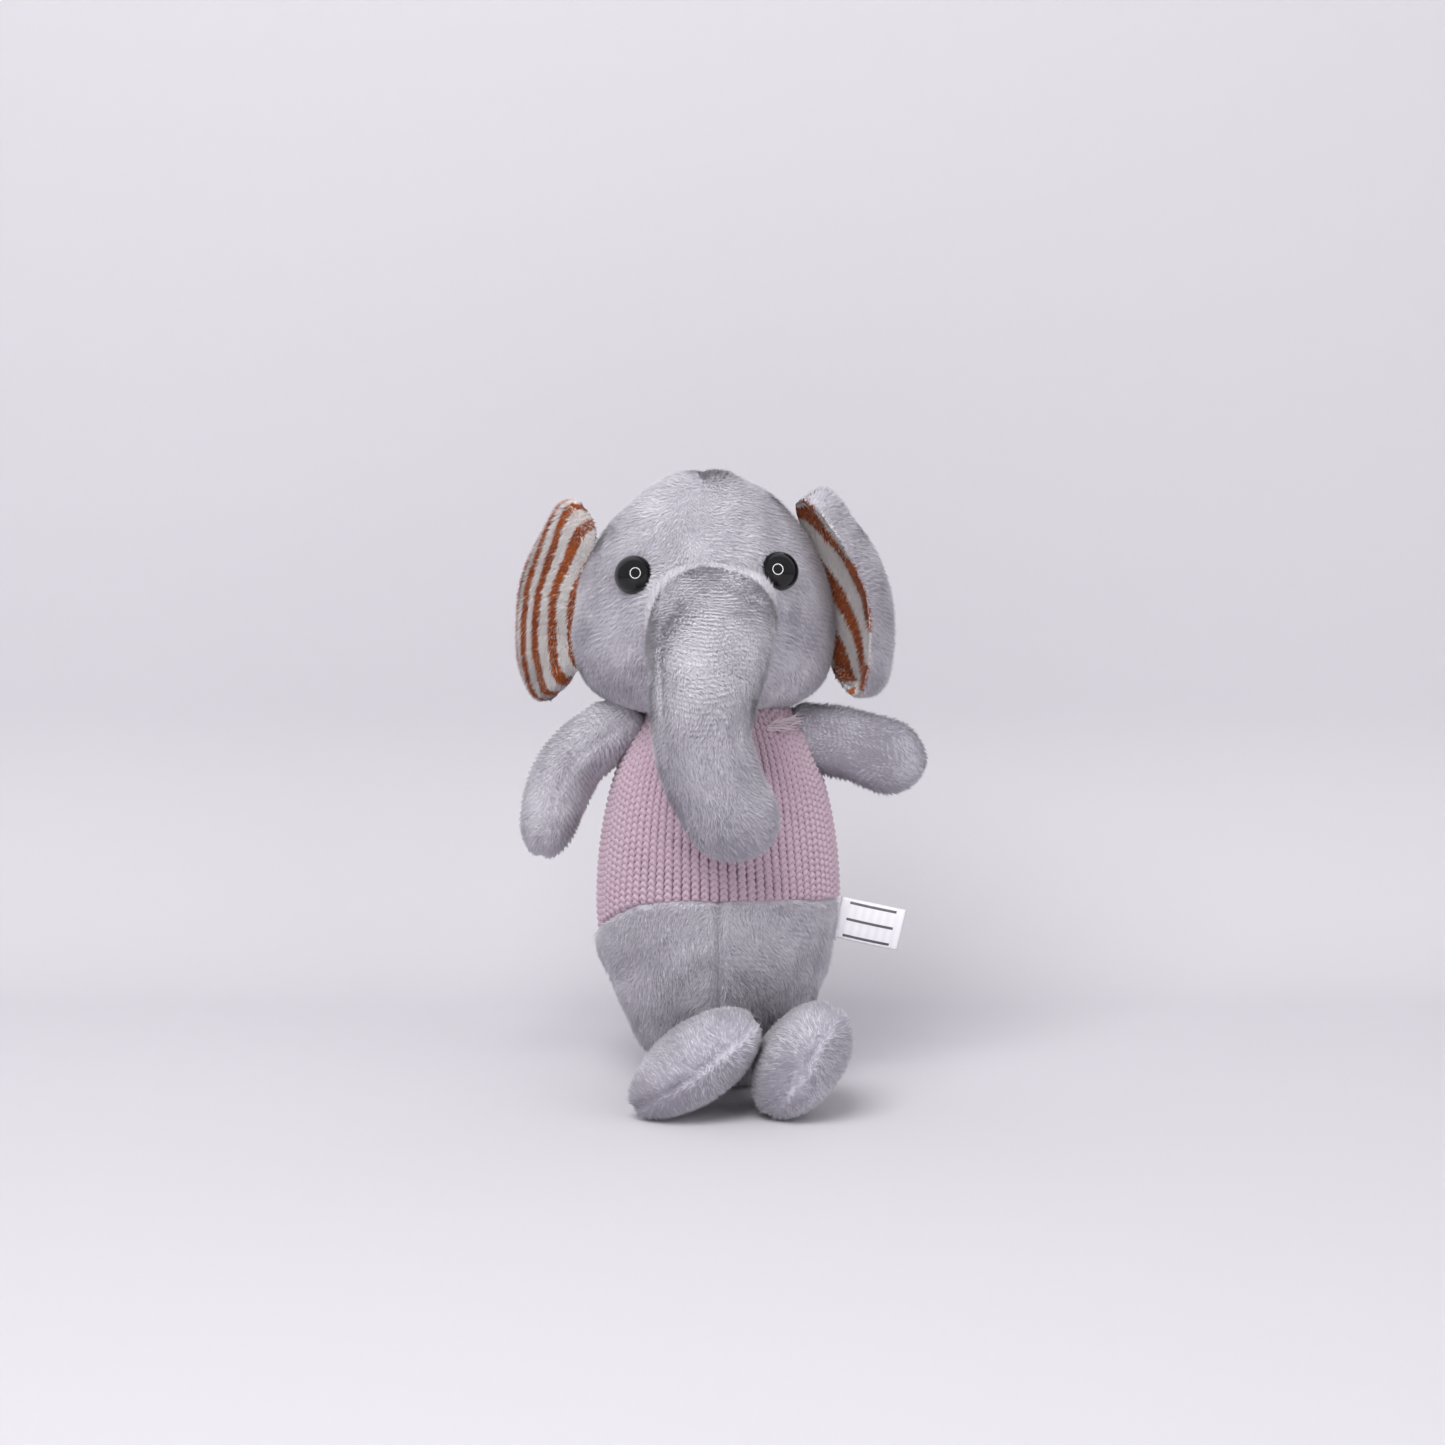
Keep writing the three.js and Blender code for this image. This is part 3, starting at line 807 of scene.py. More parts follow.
# %% Drawn in behind the knit
KNIT_ROOM = 2.4
TORSO_SKIN_TOP = 83.5  # it ends below the head, so that the head can turn
torso_points = in_pattern(get_points(torso_skin.data))
torso_turn = np.arctan2(torso_points[:, 1] - TORSO_AXIS[1], torso_points[:, 0] - TORSO_AXIS[0])
hem_height = hem_at(torso_turn)
behind_knit = np.clip((torso_points[:, 2] - hem_height) / 1.5, 0, 1)
under_hem = bell(hem_height - torso_points[:, 2] - 3, 6) * (1 - behind_knit)
on_the_right = bell(np.abs(torso_turn) - math.pi, 0.7)
puffed_out = (0.8 + 1.0 * on_the_right) * under_hem
push_out(torso_skin, puffed_out - KNIT_ROOM * behind_knit)
shrunk = get_points(torso_skin.data)
shrunk[:, 2] = np.minimum(shrunk[:, 2], TORSO_SKIN_TOP * MM)
set_points(torso_skin.data, shrunk)
print(f"torso skin drawn in by {KNIT_ROOM} mm behind the knit, puffed out {puffed_out.max():.1f} below it")

# %% Pile on the seat
LABEL_ROOT, LABEL_ROOM = (28.6, 6.0, 37.6), (4, 2.2, 6.5)
seat_only = (torso_points[:, 2] < hem_height + 0.6) & (torso_points[:, 2] > 0.8)
at_label = np.abs(torso_points - LABEL_ROOT) < LABEL_ROOM
seat_only &= ~at_label.all(axis=1)  # no tufts where the ribbon is sewn in
torso_run = get_fact(torso_skin.data, "run")
aside = torso_points[:, :1] - TORSO_AXIS[0]
torso_nap = -torso_run + np.clip(aside / 3.5, -1, 1) * bell(aside, 7) * [[0.9, 0, 0]]
seat_piles = []
for half, side in (("front", -1), ("back", 1)):
    keep = (seat_only & (side * (torso_points[:, 1] - 5) > 0)).astype(float)
    seat_piles.append(
        pile_on(f"seat_{half}_pile", torso_skin, 9.9, keep, torso_nap, GREY_PILE, grey_shade, 11 + side)
    )

# %% [markdown]
# ## Knit
#
# The middle of the body is a ribbed knit. Each rib is a chain of V-shaped stitches, and the cloth is
# thin between the ribs. At this size the ribs and the stitches are clearly seen, so they are shaped
# in the mesh, and the finish adds painted shade in the valleys between them. The panel is a fine grid
# laid on the torso, higher on the ribs and on each stitch, with a coarse wall behind it that closes it.

# %% A ribbed panel
RIBS = 80  # round the whole body, about 2.1 mm apart at its widest
STITCH_MM = 1.5
RIB_STEPS = 8
KNIT_ROWS = 172
KNIT_TOP = 92.5
KNIT_STAND = 0.4  # how far the knit's ground stands out from the torso's skin
RIB_HIGH, STITCH_HIGH, PARTING_DEEP = 1.2, 0.34, 0.22


def knit_grid(first, last, columns, rows, out):
    turn, share = np.meshgrid(np.linspace(first, last, columns), np.linspace(0, 1, rows))
    low = hem_at(turn)
    height = low + share * (KNIT_TOP - low)
    return turn, height, torso_place(turn, height, out(turn, height, share) + np.zeros_like(turn))


def stitch_relief(turn, height, share):
    """How high the knit stands at each point, in millimetres."""
    place = turn * RIBS / (2 * math.pi) + 0.12 * np.sin(height / 6.0 + turn * 2)
    across = 2 * (place - np.floor(place)) - 1  # -1 to 1 over one rib
    rib = np.sqrt(np.maximum(0, 1 - across**2))
    climb = height / STITCH_MM + 0.6 * np.abs(across) + 0.35 * np.sin(np.floor(place) * 2.4)
    stitch = np.cos(2 * math.pi * climb)
    parting = bell(across, 0.2)
    edge = np.clip(share * 45, 0, 1) ** 0.5
    relief = RIB_HIGH * rib + STITCH_HIGH * stitch * (0.35 + 0.65 * rib) - PARTING_DEEP * parting
    return (KNIT_STAND - 0.2 + relief) * edge - 0.35 * (1 - edge) - PILE_HEIGHT


def zip_loops(outer, inner):
    """Triangles between two closed loops of points with different counts."""
    faces = []
    i = j = 0
    while i < len(outer) or j < len(inner):
        take_outer = j >= len(inner) or (i < len(outer) and (i + 1) / len(outer) <= (j + 1) / len(inner))
        a, b = outer[i % len(outer)], inner[j % len(inner)]
        if take_outer:
            i += 1
            faces.append([a, outer[i % len(outer)], b])
        else:
            j += 1
            faces.append([a, inner[j % len(inner)], b])
    return faces


def rim(rows, columns, start=0):
    """A grid's outside points in order, as many steps along each side as the grid has."""
    index = start + np.arange(rows * columns).reshape(rows, columns)
    return [*index[0, :-1], *index[:-1, -1], *index[-1, :0:-1], *index[:0:-1, 0]]


def grid_faces(rows, columns, start=0):
    index = start + np.arange(rows * columns).reshape(rows, columns)
    corners = [index[:-1, :-1], index[:-1, 1:], index[1:, 1:], index[1:, :-1]]
    return np.stack(corners, axis=-1).reshape(-1, 4).tolist()


def corner_points(mesh):
    """Which point each corner of each face is."""
    corners = np.empty(len(mesh.loops), np.int32)
    mesh.loops.foreach_get("vertex_index", corners)
    return corners


def add_chart(mesh, name, chart):
    """A UV map, given at each corner of each face."""
    mesh.uv_layers.new(name=name).data.foreach_set("uv", chart.astype(np.float32).ravel())


print("knit:", RIBS, "ribs,", round(KNIT_TOP - HEM_FRONT, 1), "mm tall")

# %% Two panels of it
KNIT_CREST = "crest"
CREST_RANGE = 1.45  # millimetres from a parting's bottom to a stitch's top
BEHIND_ROWS, BEHIND_COLUMNS, WALL = 44, 81, 0.9  # the smooth wall behind, and how far behind it lies
UNSEEN = 0.005  # where faces that nobody sees lie on the chart


def knit_panel(name, first, last):
    columns = RIBS // 2 * RIB_STEPS + 1
    turn, height, front = knit_grid(first, last, columns, KNIT_ROWS, stitch_relief)
    _, _, behind = knit_grid(first, last, BEHIND_COLUMNS, BEHIND_ROWS, lambda *_: -PILE_HEIGHT - WALL)
    points = np.concatenate([front.reshape(-1, 3), behind.reshape(-1, 3)])
    outside = grid_faces(KNIT_ROWS, columns)
    start = len(front.reshape(-1, 3))
    inside = [face[::-1] for face in grid_faces(BEHIND_ROWS, BEHIND_COLUMNS, start)]
    edge = zip_loops(rim(KNIT_ROWS, columns), rim(BEHIND_ROWS, BEHIND_COLUMNS, start))
    faces = outside + inside + [face[::-1] for face in edge]
    piece = add_piece(name, in_frame(points), faces)
    relief = stitch_relief(turn, height, np.ones_like(turn)).ravel()
    crest = np.clip((relief + PILE_HEIGHT - KNIT_STAND + 0.3) / CREST_RANGE, 0, 1)
    set_fact(piece.data, KNIT_CREST, np.concatenate([crest, np.zeros(behind.size // 3)]))
    across = np.tile(np.linspace(0.02, 1, columns), KNIT_ROWS)
    up = np.repeat(np.linspace(0.02, 1, KNIT_ROWS), columns)
    flat = np.zeros((len(points), 2))
    flat[:start] = np.stack([across, up], axis=1)
    chart = flat[corner_points(piece.data)]
    owner = np.repeat(np.arange(len(faces)), [len(face) for face in faces])
    chart[owner >= len(outside)] = UNSEEN
    add_chart(piece.data, "OFBake", chart)
    print(f"{name}: {len(piece.data.polygons)} faces")
    return piece


# %% The knit's finish: dyed acrylic yarn, with painted shade in the valleys between its ribs
YARN_TWIST_MM = 0.35
WORN_PATCH_MM = 9


def knit_finish():
    finish, tree, shader = new_finish("pink acrylic rib knit", Roughness=0.9, Specular_IOR_Level=0.3,
                                      Sheen_Weight=0.3, Sheen_Roughness=0.5)
    crest = add_node(tree, "ShaderNodeAttribute", attribute_name=KNIT_CREST)
    where = add_node(tree, "ShaderNodeTexCoord")
    fibres = add_node(tree, "ShaderNodeTexNoise", {
        "Vector": where.outputs["Object"], "Scale": 1 / (YARN_TWIST_MM * MM), "Detail": 4.0})
    patches = add_node(tree, "ShaderNodeTexNoise", {
        "Vector": where.outputs["Object"], "Scale": 1 / (WORN_PATCH_MM * MM), "Detail": 2.0})
    height = add_node(tree, "ShaderNodeMath", {
        0: fibres.outputs["Fac"], 1: 0.5, 2: crest.outputs["Fac"]}, operation="MULTIPLY_ADD")
    # Painted shade and painted light on the relief: the colour runs from nearly black in the valleys between
    # the ribs and stitches to pale on their tops.
    yarn = add_node(tree, "ShaderNodeValToRGB", {"Fac": height.outputs[0]})
    yarn.color_ramp.elements[0].position = 0.25
    yarn.color_ramp.elements[0].color = linear("#40303A")
    yarn.color_ramp.elements[1].position = 1.15 / 1.2
    yarn.color_ramp.elements[1].color = linear("#CDB6C2")
    middle = yarn.color_ramp.elements.new(0.6)
    middle.color = linear("#8C7181")
    fade = add_node(tree, "ShaderNodeMix", {
        "Factor": patches.outputs["Fac"], 6: linear("#F2EAF2"), 7: linear("#FFFFFF")}, data_type="RGBA")
    colour = add_node(tree, "ShaderNodeMix", {
        "Factor": 1.0, 6: yarn.outputs["Color"], 7: fade.outputs[2]},
        data_type="RGBA", blend_type="MULTIPLY")
    bump = add_node(tree, "ShaderNodeBump", {
        "Height": fibres.outputs["Fac"], "Strength": 0.6, "Distance": 0.12 * MM})
    tree.links.new(colour.outputs[2], shader.inputs["Base Color"])
    tree.links.new(bump.outputs["Normal"], shader.inputs["Normal"])
    return finish


PINK_KNIT = knit_finish()
knit_front = knit_panel("knit_front", -math.pi, 0.0)
knit_back = knit_panel("knit_back", 0.0, math.pi)
for piece, panel in ((knit_front, "knit_front_panel"), (knit_back, "knit_back_panel")):
    piece.data.materials.append(PINK_KNIT)
    settle(piece, "torso", stands_for=[panel])

# %% [markdown]
# ## Yarn ends
#
# Where the knit is gathered under the head, a few cut ends of yarn stand out. They are made as a pile of
# long, thick tufts in one small place.

# %% Yarn ends at the neck
YARN_ENDS_AT, YARN_ENDS_REACH = (14.5, -3.0, 86.6), (3.0, 9.0, 1.1)
YARN_ENDS = pile_finish("pink acrylic yarn ends", "#E6D3DC", 0.2)
knit_points = in_pattern(get_points(knit_front.data))
for fact, value in (("seam", FAR_FROM_SEAM), ("travel", 0.0)):
    set_fact(knit_front.data, fact, np.full(len(knit_points), value))
at_neck = (np.abs(knit_points - YARN_ENDS_AT) < YARN_ENDS_REACH).all(axis=1).astype(float)
to_the_left = np.tile([[1.0, 0, 0.1]], (len(knit_points), 1))
yarn_ends = pile_on(
    "neck_yarn_ends", knit_front, 2.4, at_neck, to_the_left, [YARN_ENDS],
    lambda root, in_row, read, draw: np.zeros(len(root), int), 91, length=3.6, width=0.34, lean=0.9,
)
settle(yarn_ends, "torso")

# %% The torso on its body
SEAT_PANELS = [f"seat_{half}_{side}_panel" for half in ("front", "back") for side in ("left", "right")]
settle(torso_skin, "torso", stands_for=SEAT_PANELS + ["torso_filling"])
for piece in seat_piles:
    settle(piece, "torso")
print("torso stands for", len(SEAT_PANELS) + 1, "nodes")

# %% [markdown]
# ## Head
#
# The head is a ball, fuller at the cheeks than at the crown, in two halves with a seam over the top.
# The filling doesn't quite fill it: there is a soft hollow in the forehead, a small peak at the
# crown, and the eyes pull the cloth in a little.

# %% The head's skin
TRUNK_BASE = (-1.2, -13, 114)
EYE_SPOTS = {"right": (-19.3, 122.5), "left": (15.0, 123.3)}


def head_front(x, z):
    """The place on the front of the head at x and z, and the direction outwards there."""
    share = head_share(np.array([(z - HEAD_BOTTOM) / (HEAD_TOP - HEAD_BOTTOM)]))[0]
    aside = x - HEAD_MIDDLE[0]
    y = HEAD_MIDDLE[1] - HEAD_HALF[1] * share * math.sqrt(1 - (aside / (HEAD_HALF[0] * share)) ** 2)
    rise = (z - HEAD_WIDEST) / (HEAD_TOP - HEAD_WIDEST) ** 2
    out = unit(np.array([aside / HEAD_HALF[0] ** 2, (y - HEAD_MIDDLE[1]) / HEAD_HALF[1] ** 2, rise]))
    return np.array([x, y, z]), out


head_form = soft_form(
    [(*HEAD_MIDDLE, HEAD_BOTTOM), (*HEAD_MIDDLE, HEAD_TOP)],
    lambda t: HEAD_HALF * head_share(t)[:, None],
    (1, 0, 0), 32, 56, seams=(math.pi / 2, -math.pi / 2), inset=PILE_HEIGHT,
)
head_skin = stuffed_skin(
    "head_skin", head_form, cap=0.9, pull=0.02, seam_depth=0.08, lumps=0.4, seed=7, pucker=0.05,
)


def shape_head(piece):
    """The forehead's hollow, the crown's peak and the dips round the eyes, in millimetres."""
    points = in_pattern(get_points(piece.data))
    x, y, z = points.T
    front = np.clip(-(y - 12) / 10, 0, 1)
    hollow = -1.1 * bell(x + 0.5, 6.5) * bell(z - 135, 7.5) * front
    fold = 0.7 * bell(x + 8, 3.0) * bell(z - 134, 8) * front
    peak = 0.6 * bell(x + 3.5, 7) * bell(y - 12, 9) * np.clip((z - 138) / 7, 0, 1)
    from_trunk = np.linalg.norm((points - TRUNK_BASE) / [15.5, 14, 13.5], axis=1)
    bridge = 0.5 * bell(from_trunk - 1, 0.28) * np.clip((z - 110) / 5, 0, 1)
    move = hollow + fold + peak + bridge
    for spot in EYE_SPOTS.values():
        centre, _ = head_front(*spot)
        move = move - 0.3 * bell(np.linalg.norm(points - centre, axis=1), 5.5, power=4)
    push_out(piece, move)
    print(f"{piece.name}: shaped by {move.min():.1f} to {move.max():.1f} mm")


shape_head(head_skin)

# %% Pile on the head
TRUNK_LINE = [
    (-1.2, -4, 120.5), (-1.2, -14.5, 112), (-1.8, -23.5, 104.5), (-2.7, -29.4, 96.5), (-3, -31.6, 88),
    (0.3, -31.4, 76.5), (4.4, -31, 68), (7.2, -30.5, 60),
]
TRUNK_SIZES = [
    (14.5, 8.8), (15.6, 10.4), (15.4, 11), (14, 10.8), (12.4, 10.5), (11.6, 10.3), (11.1, 10.2), (10.4, 9.8),
]
EYE_ROOM = 3.6  # no tufts under an eye
head_points = in_pattern(get_points(head_skin.data))
bare = in_torso(head_points, 0.9)
bare |= np.linalg.norm((head_points - TRUNK_BASE) / [12.5, 12, 11], axis=1) < 1
for spot in EYE_SPOTS.values():
    eye_place, _ = head_front(*spot)
    bare |= np.linalg.norm(head_points - eye_place, axis=1) < EYE_ROOM
head_run = get_fact(head_skin.data, "run")
from_middle = head_points[:, :1] - HEAD_MIDDLE[0]
head_nap = -head_run + np.clip(from_middle / 12, -1, 1) * [[0.8, 0, 0]] + [[0, -0.25, 0]]
head_piles = []
for half, side in (("left", 1), ("right", -1)):
    keep = (~bare & (side * from_middle[:, 0] > -0.9)).astype(float)
    head_piles.append(
        pile_on(f"head_{half}_pile", head_skin, 10.5, keep, head_nap, GREY_PILE, head_shade, 21 + side)
    )
settle(head_skin, "head", stands_for=["head_left_panel", "head_right_panel", "head_filling"])
for piece in head_piles:
    settle(piece, "head")

# %% [markdown]
# ## Trunk
#
# The trunk is one stuffed tube, flared where it is sewn to the face, that hangs down over the chest
# with a seam along each side. It is made whole and then parted in two pieces at a ring above its
# bend, one for each of the CAD model's two trunk parts. Their edges lie on each
# other there, and the pile covers the join.

# %% The trunk's skin
trunk_length = path_through(TRUNK_LINE)[1]
TRUNK_SEAM = 0.6  # the seams lie this far round from the sides, so that one shows in front
trunk_form = soft_form(
    TRUNK_LINE, sleeve(TRUNK_SIZES, trunk_length, 4, 9.5), (1, 0, 0), 30, 28,
    seams=(math.pi - TRUNK_SEAM, -TRUNK_SEAM), inset=PILE_HEIGHT, first=-TRUNK_SEAM,
)
trunk_whole = skin_from("trunk_whole", trunk_form)
stuff(trunk_whole, cap=0.9, pull=0.03)
refine(trunk_whole)
trunk_sewn = np.clip((get_fact(trunk_whole.data, "along") - 0.3) / 0.15, 0, 1)
sew(trunk_whole, 0.5, lumps=0.2, seed=13, pucker=0.14, ridge=0.12, strength=trunk_sewn)
TRUNK_PARTING = 0.44  # share of the trunk's length, above the bend


def part_of(name, whole, keep_low):
    """A copy of the trunk with the faces on one side of the parting, its cut edge closed."""
    piece = whole.copy()
    piece.data = whole.data.copy()
    piece.name = piece.data.name = name
    scene.collection.objects.link(piece)
    along = get_fact(piece.data, "along")
    shares = [np.mean([along[v] for v in face.vertices]) for face in piece.data.polygons]
    gone = (np.array(shares) < TRUNK_PARTING) != keep_low
    bpy.ops.object.select_all(action="DESELECT")
    bpy.context.view_layer.objects.active = piece
    piece.select_set(True)
    for parts in (piece.data.vertices, piece.data.edges):
        parts.foreach_set("select", np.zeros(len(parts), bool))
    piece.data.polygons.foreach_set("select", gone)
    bpy.ops.object.mode_set(mode="EDIT")
    bpy.ops.mesh.select_mode(type="FACE")
    bpy.ops.mesh.delete(type="FACE")
    bpy.ops.mesh.select_mode(type="EDGE")
    bpy.ops.mesh.select_all(action="DESELECT")
    bpy.ops.mesh.select_non_manifold(extend=False)
    bpy.ops.mesh.edge_face_add()
    bpy.ops.object.mode_set(mode="OBJECT")
    piece.select_set(False)
    piece.data.materials.append(GREY_BACKING)
    return piece


trunk_points = in_pattern(get_points(trunk_whole.data))
trunk_along = get_fact(trunk_whole.data, "along")
trunk_open = head_depth(trunk_points) >= 0.98
out_of_head = head_depth(trunk_points) - 1
near_head = np.clip(1 - out_of_head / 0.24, 0, 1) * np.clip((0.38 - trunk_along) / 0.2, 0, 1)
at_the_edge = (near_head**2 * (3 - 2 * near_head))[:, None]
trunk_nap = get_fact(trunk_whole.data, "run") * (1 - 1.6 * at_the_edge) + [[0, -0.3, 0.5]] * at_the_edge
TRUNK_BENDS = {
    "upper": ("head", "trunk_upper", (-0.8, -13, 118), (-1.6, -27, 104)),
    "lower": ("trunk_upper", "trunk_lower", (-3, -31.6, 93), (-1.6, -31.5, 82)),
}
for part, keep_low in (("upper", True), ("lower", False)):
    skin = part_of(f"trunk_{part}_skin", trunk_whole, keep_low)
    keep = (trunk_open & ((trunk_along < TRUNK_PARTING) == keep_low)).astype(float)
    pile = pile_on(
        f"trunk_{part}_pile", trunk_whole, 12.0, keep, trunk_nap, GREY_PILE, trunk_shade, 33 + keep_low,
        length=1.6, lean=1.08 - 0.2 * at_the_edge[:, 0],
    )
    nodes = [f"trunk_{part}_{panel}" for panel in ("front_panel", "under_panel", "filling")]
    settle(skin, bend=TRUNK_BENDS[part], stands_for=nodes)
    settle(pile, bend=TRUNK_BENDS[part])
bpy.data.objects.remove(trunk_whole)

# %% [markdown]
# ## Ears
#
# An ear is two flat panels sewn together and turned out, striped plush inside and grey plush outside,
# with no filling. It is cupped, because the lining is cut a little smaller. The stripes are printed on
# the lining before it is cut, so they run straight along the ear and stop at its edge. Each tuft takes
# its colour from where it is rooted, which gives the stripes the fuzzy edge that pile has.

# %% Ears with striped linings
EARS = {
    "right": {
        "line": [(-37.4, 19.4, 91), (-41, 24.6, 102), (-40.8, 25, 114), (-36.3, 22.8, 126), (-31, 19.4, 137)],
        "across": (-0.6, 0.8, 0),
        "lining": 1,
        "root": (-29, 13, 114),
        "slant": 0.02,
        "offset": 1.4,
        "cup": 3.4,
        "root_side": 5.0,
        "sizes": [(9, 2.2), (10.6, 2.4), (10.4, 2.4), (9, 2.2), (7, 2)],
        "rounds": (4.5, 5.5),
        "pitch": 4.8,
    },
    "left": {
        "line": [(30.5, 8, 93.5), (31.8, 5.4, 104), (31, 5, 116), (26.2, 5.5, 127), (18.6, 7.5, 139)],
        "across": (0.4, -0.92, 0),
        "lining": -1,
        "root": (26, 15, 116),
        "slant": 0.38,
        "offset": -2.0,
        "cup": 7.0,
        "root_side": 2.5,
        "sizes": [(9.6, 2.6), (10.8, 3), (10.4, 3), (9, 2.6), (7, 2)],
        "rounds": (4, 9),
        "pitch": 8.2,
    },
}


def stripe_shade(across_ear, slant, offset, pitch):
    """Rust and cream by how far across the ear a tuft is rooted, each in two close shades."""

    def shade(root, in_row, read, draw):
        across = read(across_ear) + slant * (root[:, 2] - 115) + draw.normal(0, 0.12, len(root))
        place = (across + offset) / pitch + 0.04 * drift(root, 12, 71)
        rust = (place - np.floor(place)) < 0.5 + 0.05 * np.sin(np.floor(place) * 2)
        deep = draw.uniform(0, 1, len(root)) + 0.25 * drift(root, 4, 72) < 0.28
        return np.where(rust, 2, 0) + deep

    return shade


for side, ear in EARS.items():
    ear_length = path_through(ear["line"])[1]
    form = soft_form(
        ear["line"], sleeve(ear["sizes"], ear_length, *ear["rounds"]), ear["across"], 30, 28,
        inset=0.55, cup=ear["cup"], root=ear["root_side"],
    )
    skin = stuffed_skin(f"ear_{side}_skin", form, cap=0.5, pull=0.05, seam_depth=0.15, seed=41)
    skin.data.materials.append(CREAM_BACKING)
    facing = get_fact(skin.data, "facing") * ear["lining"]
    for face in skin.data.polygons:
        face.material_index = int(np.mean([facing[v] for v in face.vertices]) > 0)
    ear_points = in_pattern(get_points(skin.data))
    low, high = np.array(ear["line"][0], float), np.array(ear["line"][-1], float)
    climbed = ((ear_points[:, 2] - low[2]) / (high[2] - low[2]))[:, None]
    from_chord = (ear_points - low - climbed * (high - low)) @ unit(np.array(ear["across"], float))
    across_ear = 0.5 * get_fact(skin.data, "across") + 0.5 * from_chord
    nap = -get_fact(skin.data, "run") + [[0.15, -0.3, 0]]
    bend_end = np.array(ear["line"][2]) * 0.6 + np.array(ear["root"]) * 0.4
    bend = ("head", f"ear_{side}", ear["root"], tuple(bend_end))
    striped = stripe_shade(across_ear, ear["slant"], ear["offset"], ear["pitch"])
    from_edge = get_fact(skin.data, "seam")
    lining_pile = pile_on(
        f"ear_{side}_lining_pile", skin, 15.2, (facing > -0.08).astype(float), nap, STRIPE_PILE, striped, 51,
        length=1.5, lean=0.95 - 0.45 * bell(from_edge, 2),
    )
    back_pile = pile_on(
        f"ear_{side}_back_pile", skin, 11.0, (facing < 0.02).astype(float), nap, GREY_PILE, grey_shade, 53,
        lean=1.0 - 0.5 * bell(from_edge, 2.5),
    )
    settle(skin, bend=bend, stands_for=[f"ear_{side}_lining", f"ear_{side}_back"])
    settle(lining_pile, bend=bend)
    settle(back_pile, bend=bend)

# %% [markdown]
# ## Arms and legs
#
# Each limb is two panels seamed all round its broad outline, turned out, stuffed and sewn to the body
# at its open end. The nap of an arm runs to its tip. On a foot it parts at the seam that crosses the
# sole and lies back on both sides.

# %% Arms
ARMS = {
    "right": {"line": [(-25.4, 8.5, 84), (-34, 7.8, 77), (-39, 7, 66), (-41.6, 5.5, 53.5)],
              "across": (0, 1, 0), "root": (-17.5, 10.5, 89.5), "panels": ("inner_panel", "outer_panel"),
              "sizes": [(7.2, 6.6), (8.8, 7.6), (9, 7.4), (8.2, 6.8)], "shade": grey_shade},
    "left": {"line": [(25.2, 9, 83), (33.6, 8.4, 80), (42.2, 7.6, 77.2), (49.6, 6.5, 75)],
             "across": (0, 0, 1), "root": (16, 12.5, 84), "panels": ("back_panel", "front_panel"),
             "sizes": [(7.8, 5.2), (9.6, 6.6), (10.0, 7.4), (8.8, 6.8)], "shade": darker_painted_shade},
}
for side, arm in ARMS.items():
    line = [arm["root"], *arm["line"][1:]]
    form = soft_form(
        line, sleeve(arm["sizes"], path_through(line)[1], 3.5, 9.5), arm["across"], 24, 22, inset=PILE_HEIGHT,
    )
    skin = stuffed_skin(f"arm_{side}_skin", form, seam_depth=0.22, lumps=0.25, seed=61, ridge=0.05)
    arm_points = in_pattern(get_points(skin.data))
    keep = (~in_torso(arm_points, 0.93) & (head_depth(arm_points) >= 1.12)).astype(float)
    nap = get_fact(skin.data, "run") + 0.3 * get_fact(skin.data, "out_of_seam")
    pile = pile_on(f"arm_{side}_pile", skin, 12.5, keep, nap, GREY_PILE, arm["shade"], 63)
    first, second = np.array(arm["line"][0]), np.array(arm["line"][1])
    bend_start, bend_end = first - (second - first) * 0.35, first + (second - first) * 0.6
    bend = ("torso", f"arm_{side}", tuple(bend_start), tuple(bend_end))
    nodes = [f"arm_{side}_{panel}" for panel in (*arm["panels"], "filling")]
    settle(skin, bend=bend, stands_for=nodes)
    settle(pile, bend=bend)

# %% Legs
LEG_HIP = 6.4  # the hidden end of a leg is this thick each way
LEGS = {
    "right": {"tilt": 36, "hip": (-8.6, -16.6, 7.6), "foot": (-5, -40.5, 12.4), "broad": 18.2, "thin": 8.9},
    "left": {"tilt": 58, "hip": (15.5, -14.8, 7.6), "foot": (19.5, -40.5, 13.2), "broad": 15.3, "thin": 9.0},
}
for side, leg in LEGS.items():
    hip, foot = np.array(leg["hip"], float), np.array(leg["foot"], float)
    ankle = hip + 0.45 * (foot - hip)
    ankle[[0, 2]] = foot[[0, 2]]
    line = [hip + (0, 4, 0), ankle, foot]
    broad, thin = leg["broad"], leg["thin"]
    sizes = [(LEG_HIP, LEG_HIP), (0.8 * broad, 0.95 * thin), (broad, thin), (0.94 * broad, thin)]
    tilt = math.radians(leg["tilt"])
    form = soft_form(
        line, sleeve(sizes, path_through(line)[1], 6, 9), (math.cos(tilt), 0, math.sin(tilt)), 26, 32,
        inset=PILE_HEIGHT,
    )
    skin = stuffed_skin(
        f"leg_{side}_skin", form, seam_depth=0.25, lumps=0.35, seed=81, pucker=0.16, ridge=0.05,
    )
    on_the_ground(skin, UNDER_PILE)
    keep = (~in_torso(in_pattern(get_points(skin.data)), 0.9)).astype(float)
    nap = 0.8 * get_fact(skin.data, "out_of_seam") + [[-0.3, 0.7, 0.25]]
    pile = pile_on(f"leg_{side}_pile", skin, 11.4, keep, nap, GREY_PILE, darker_painted_shade, 83, length=1.6)
    bend = ("torso", f"leg_{side}", tuple(hip + (0, 1, 0)), tuple(ankle))
    nodes = [f"leg_{side}_{panel}" for panel in ("upper_panel", "lower_panel", "filling")]
    settle(skin, bend=bend, stands_for=nodes)
    settle(pile, bend=bend)

# %% [markdown]
# ## Eyes
#
# A safety eye is a moulded dome of black plastic with a polished face, on a ribbed post that is held
# behind the cloth by a washer. The washer stays as the CAD has it. The dome is modelled from a sphere:
# cut flat behind, squashed a little, and given a narrow rolled rim that presses into the pile.

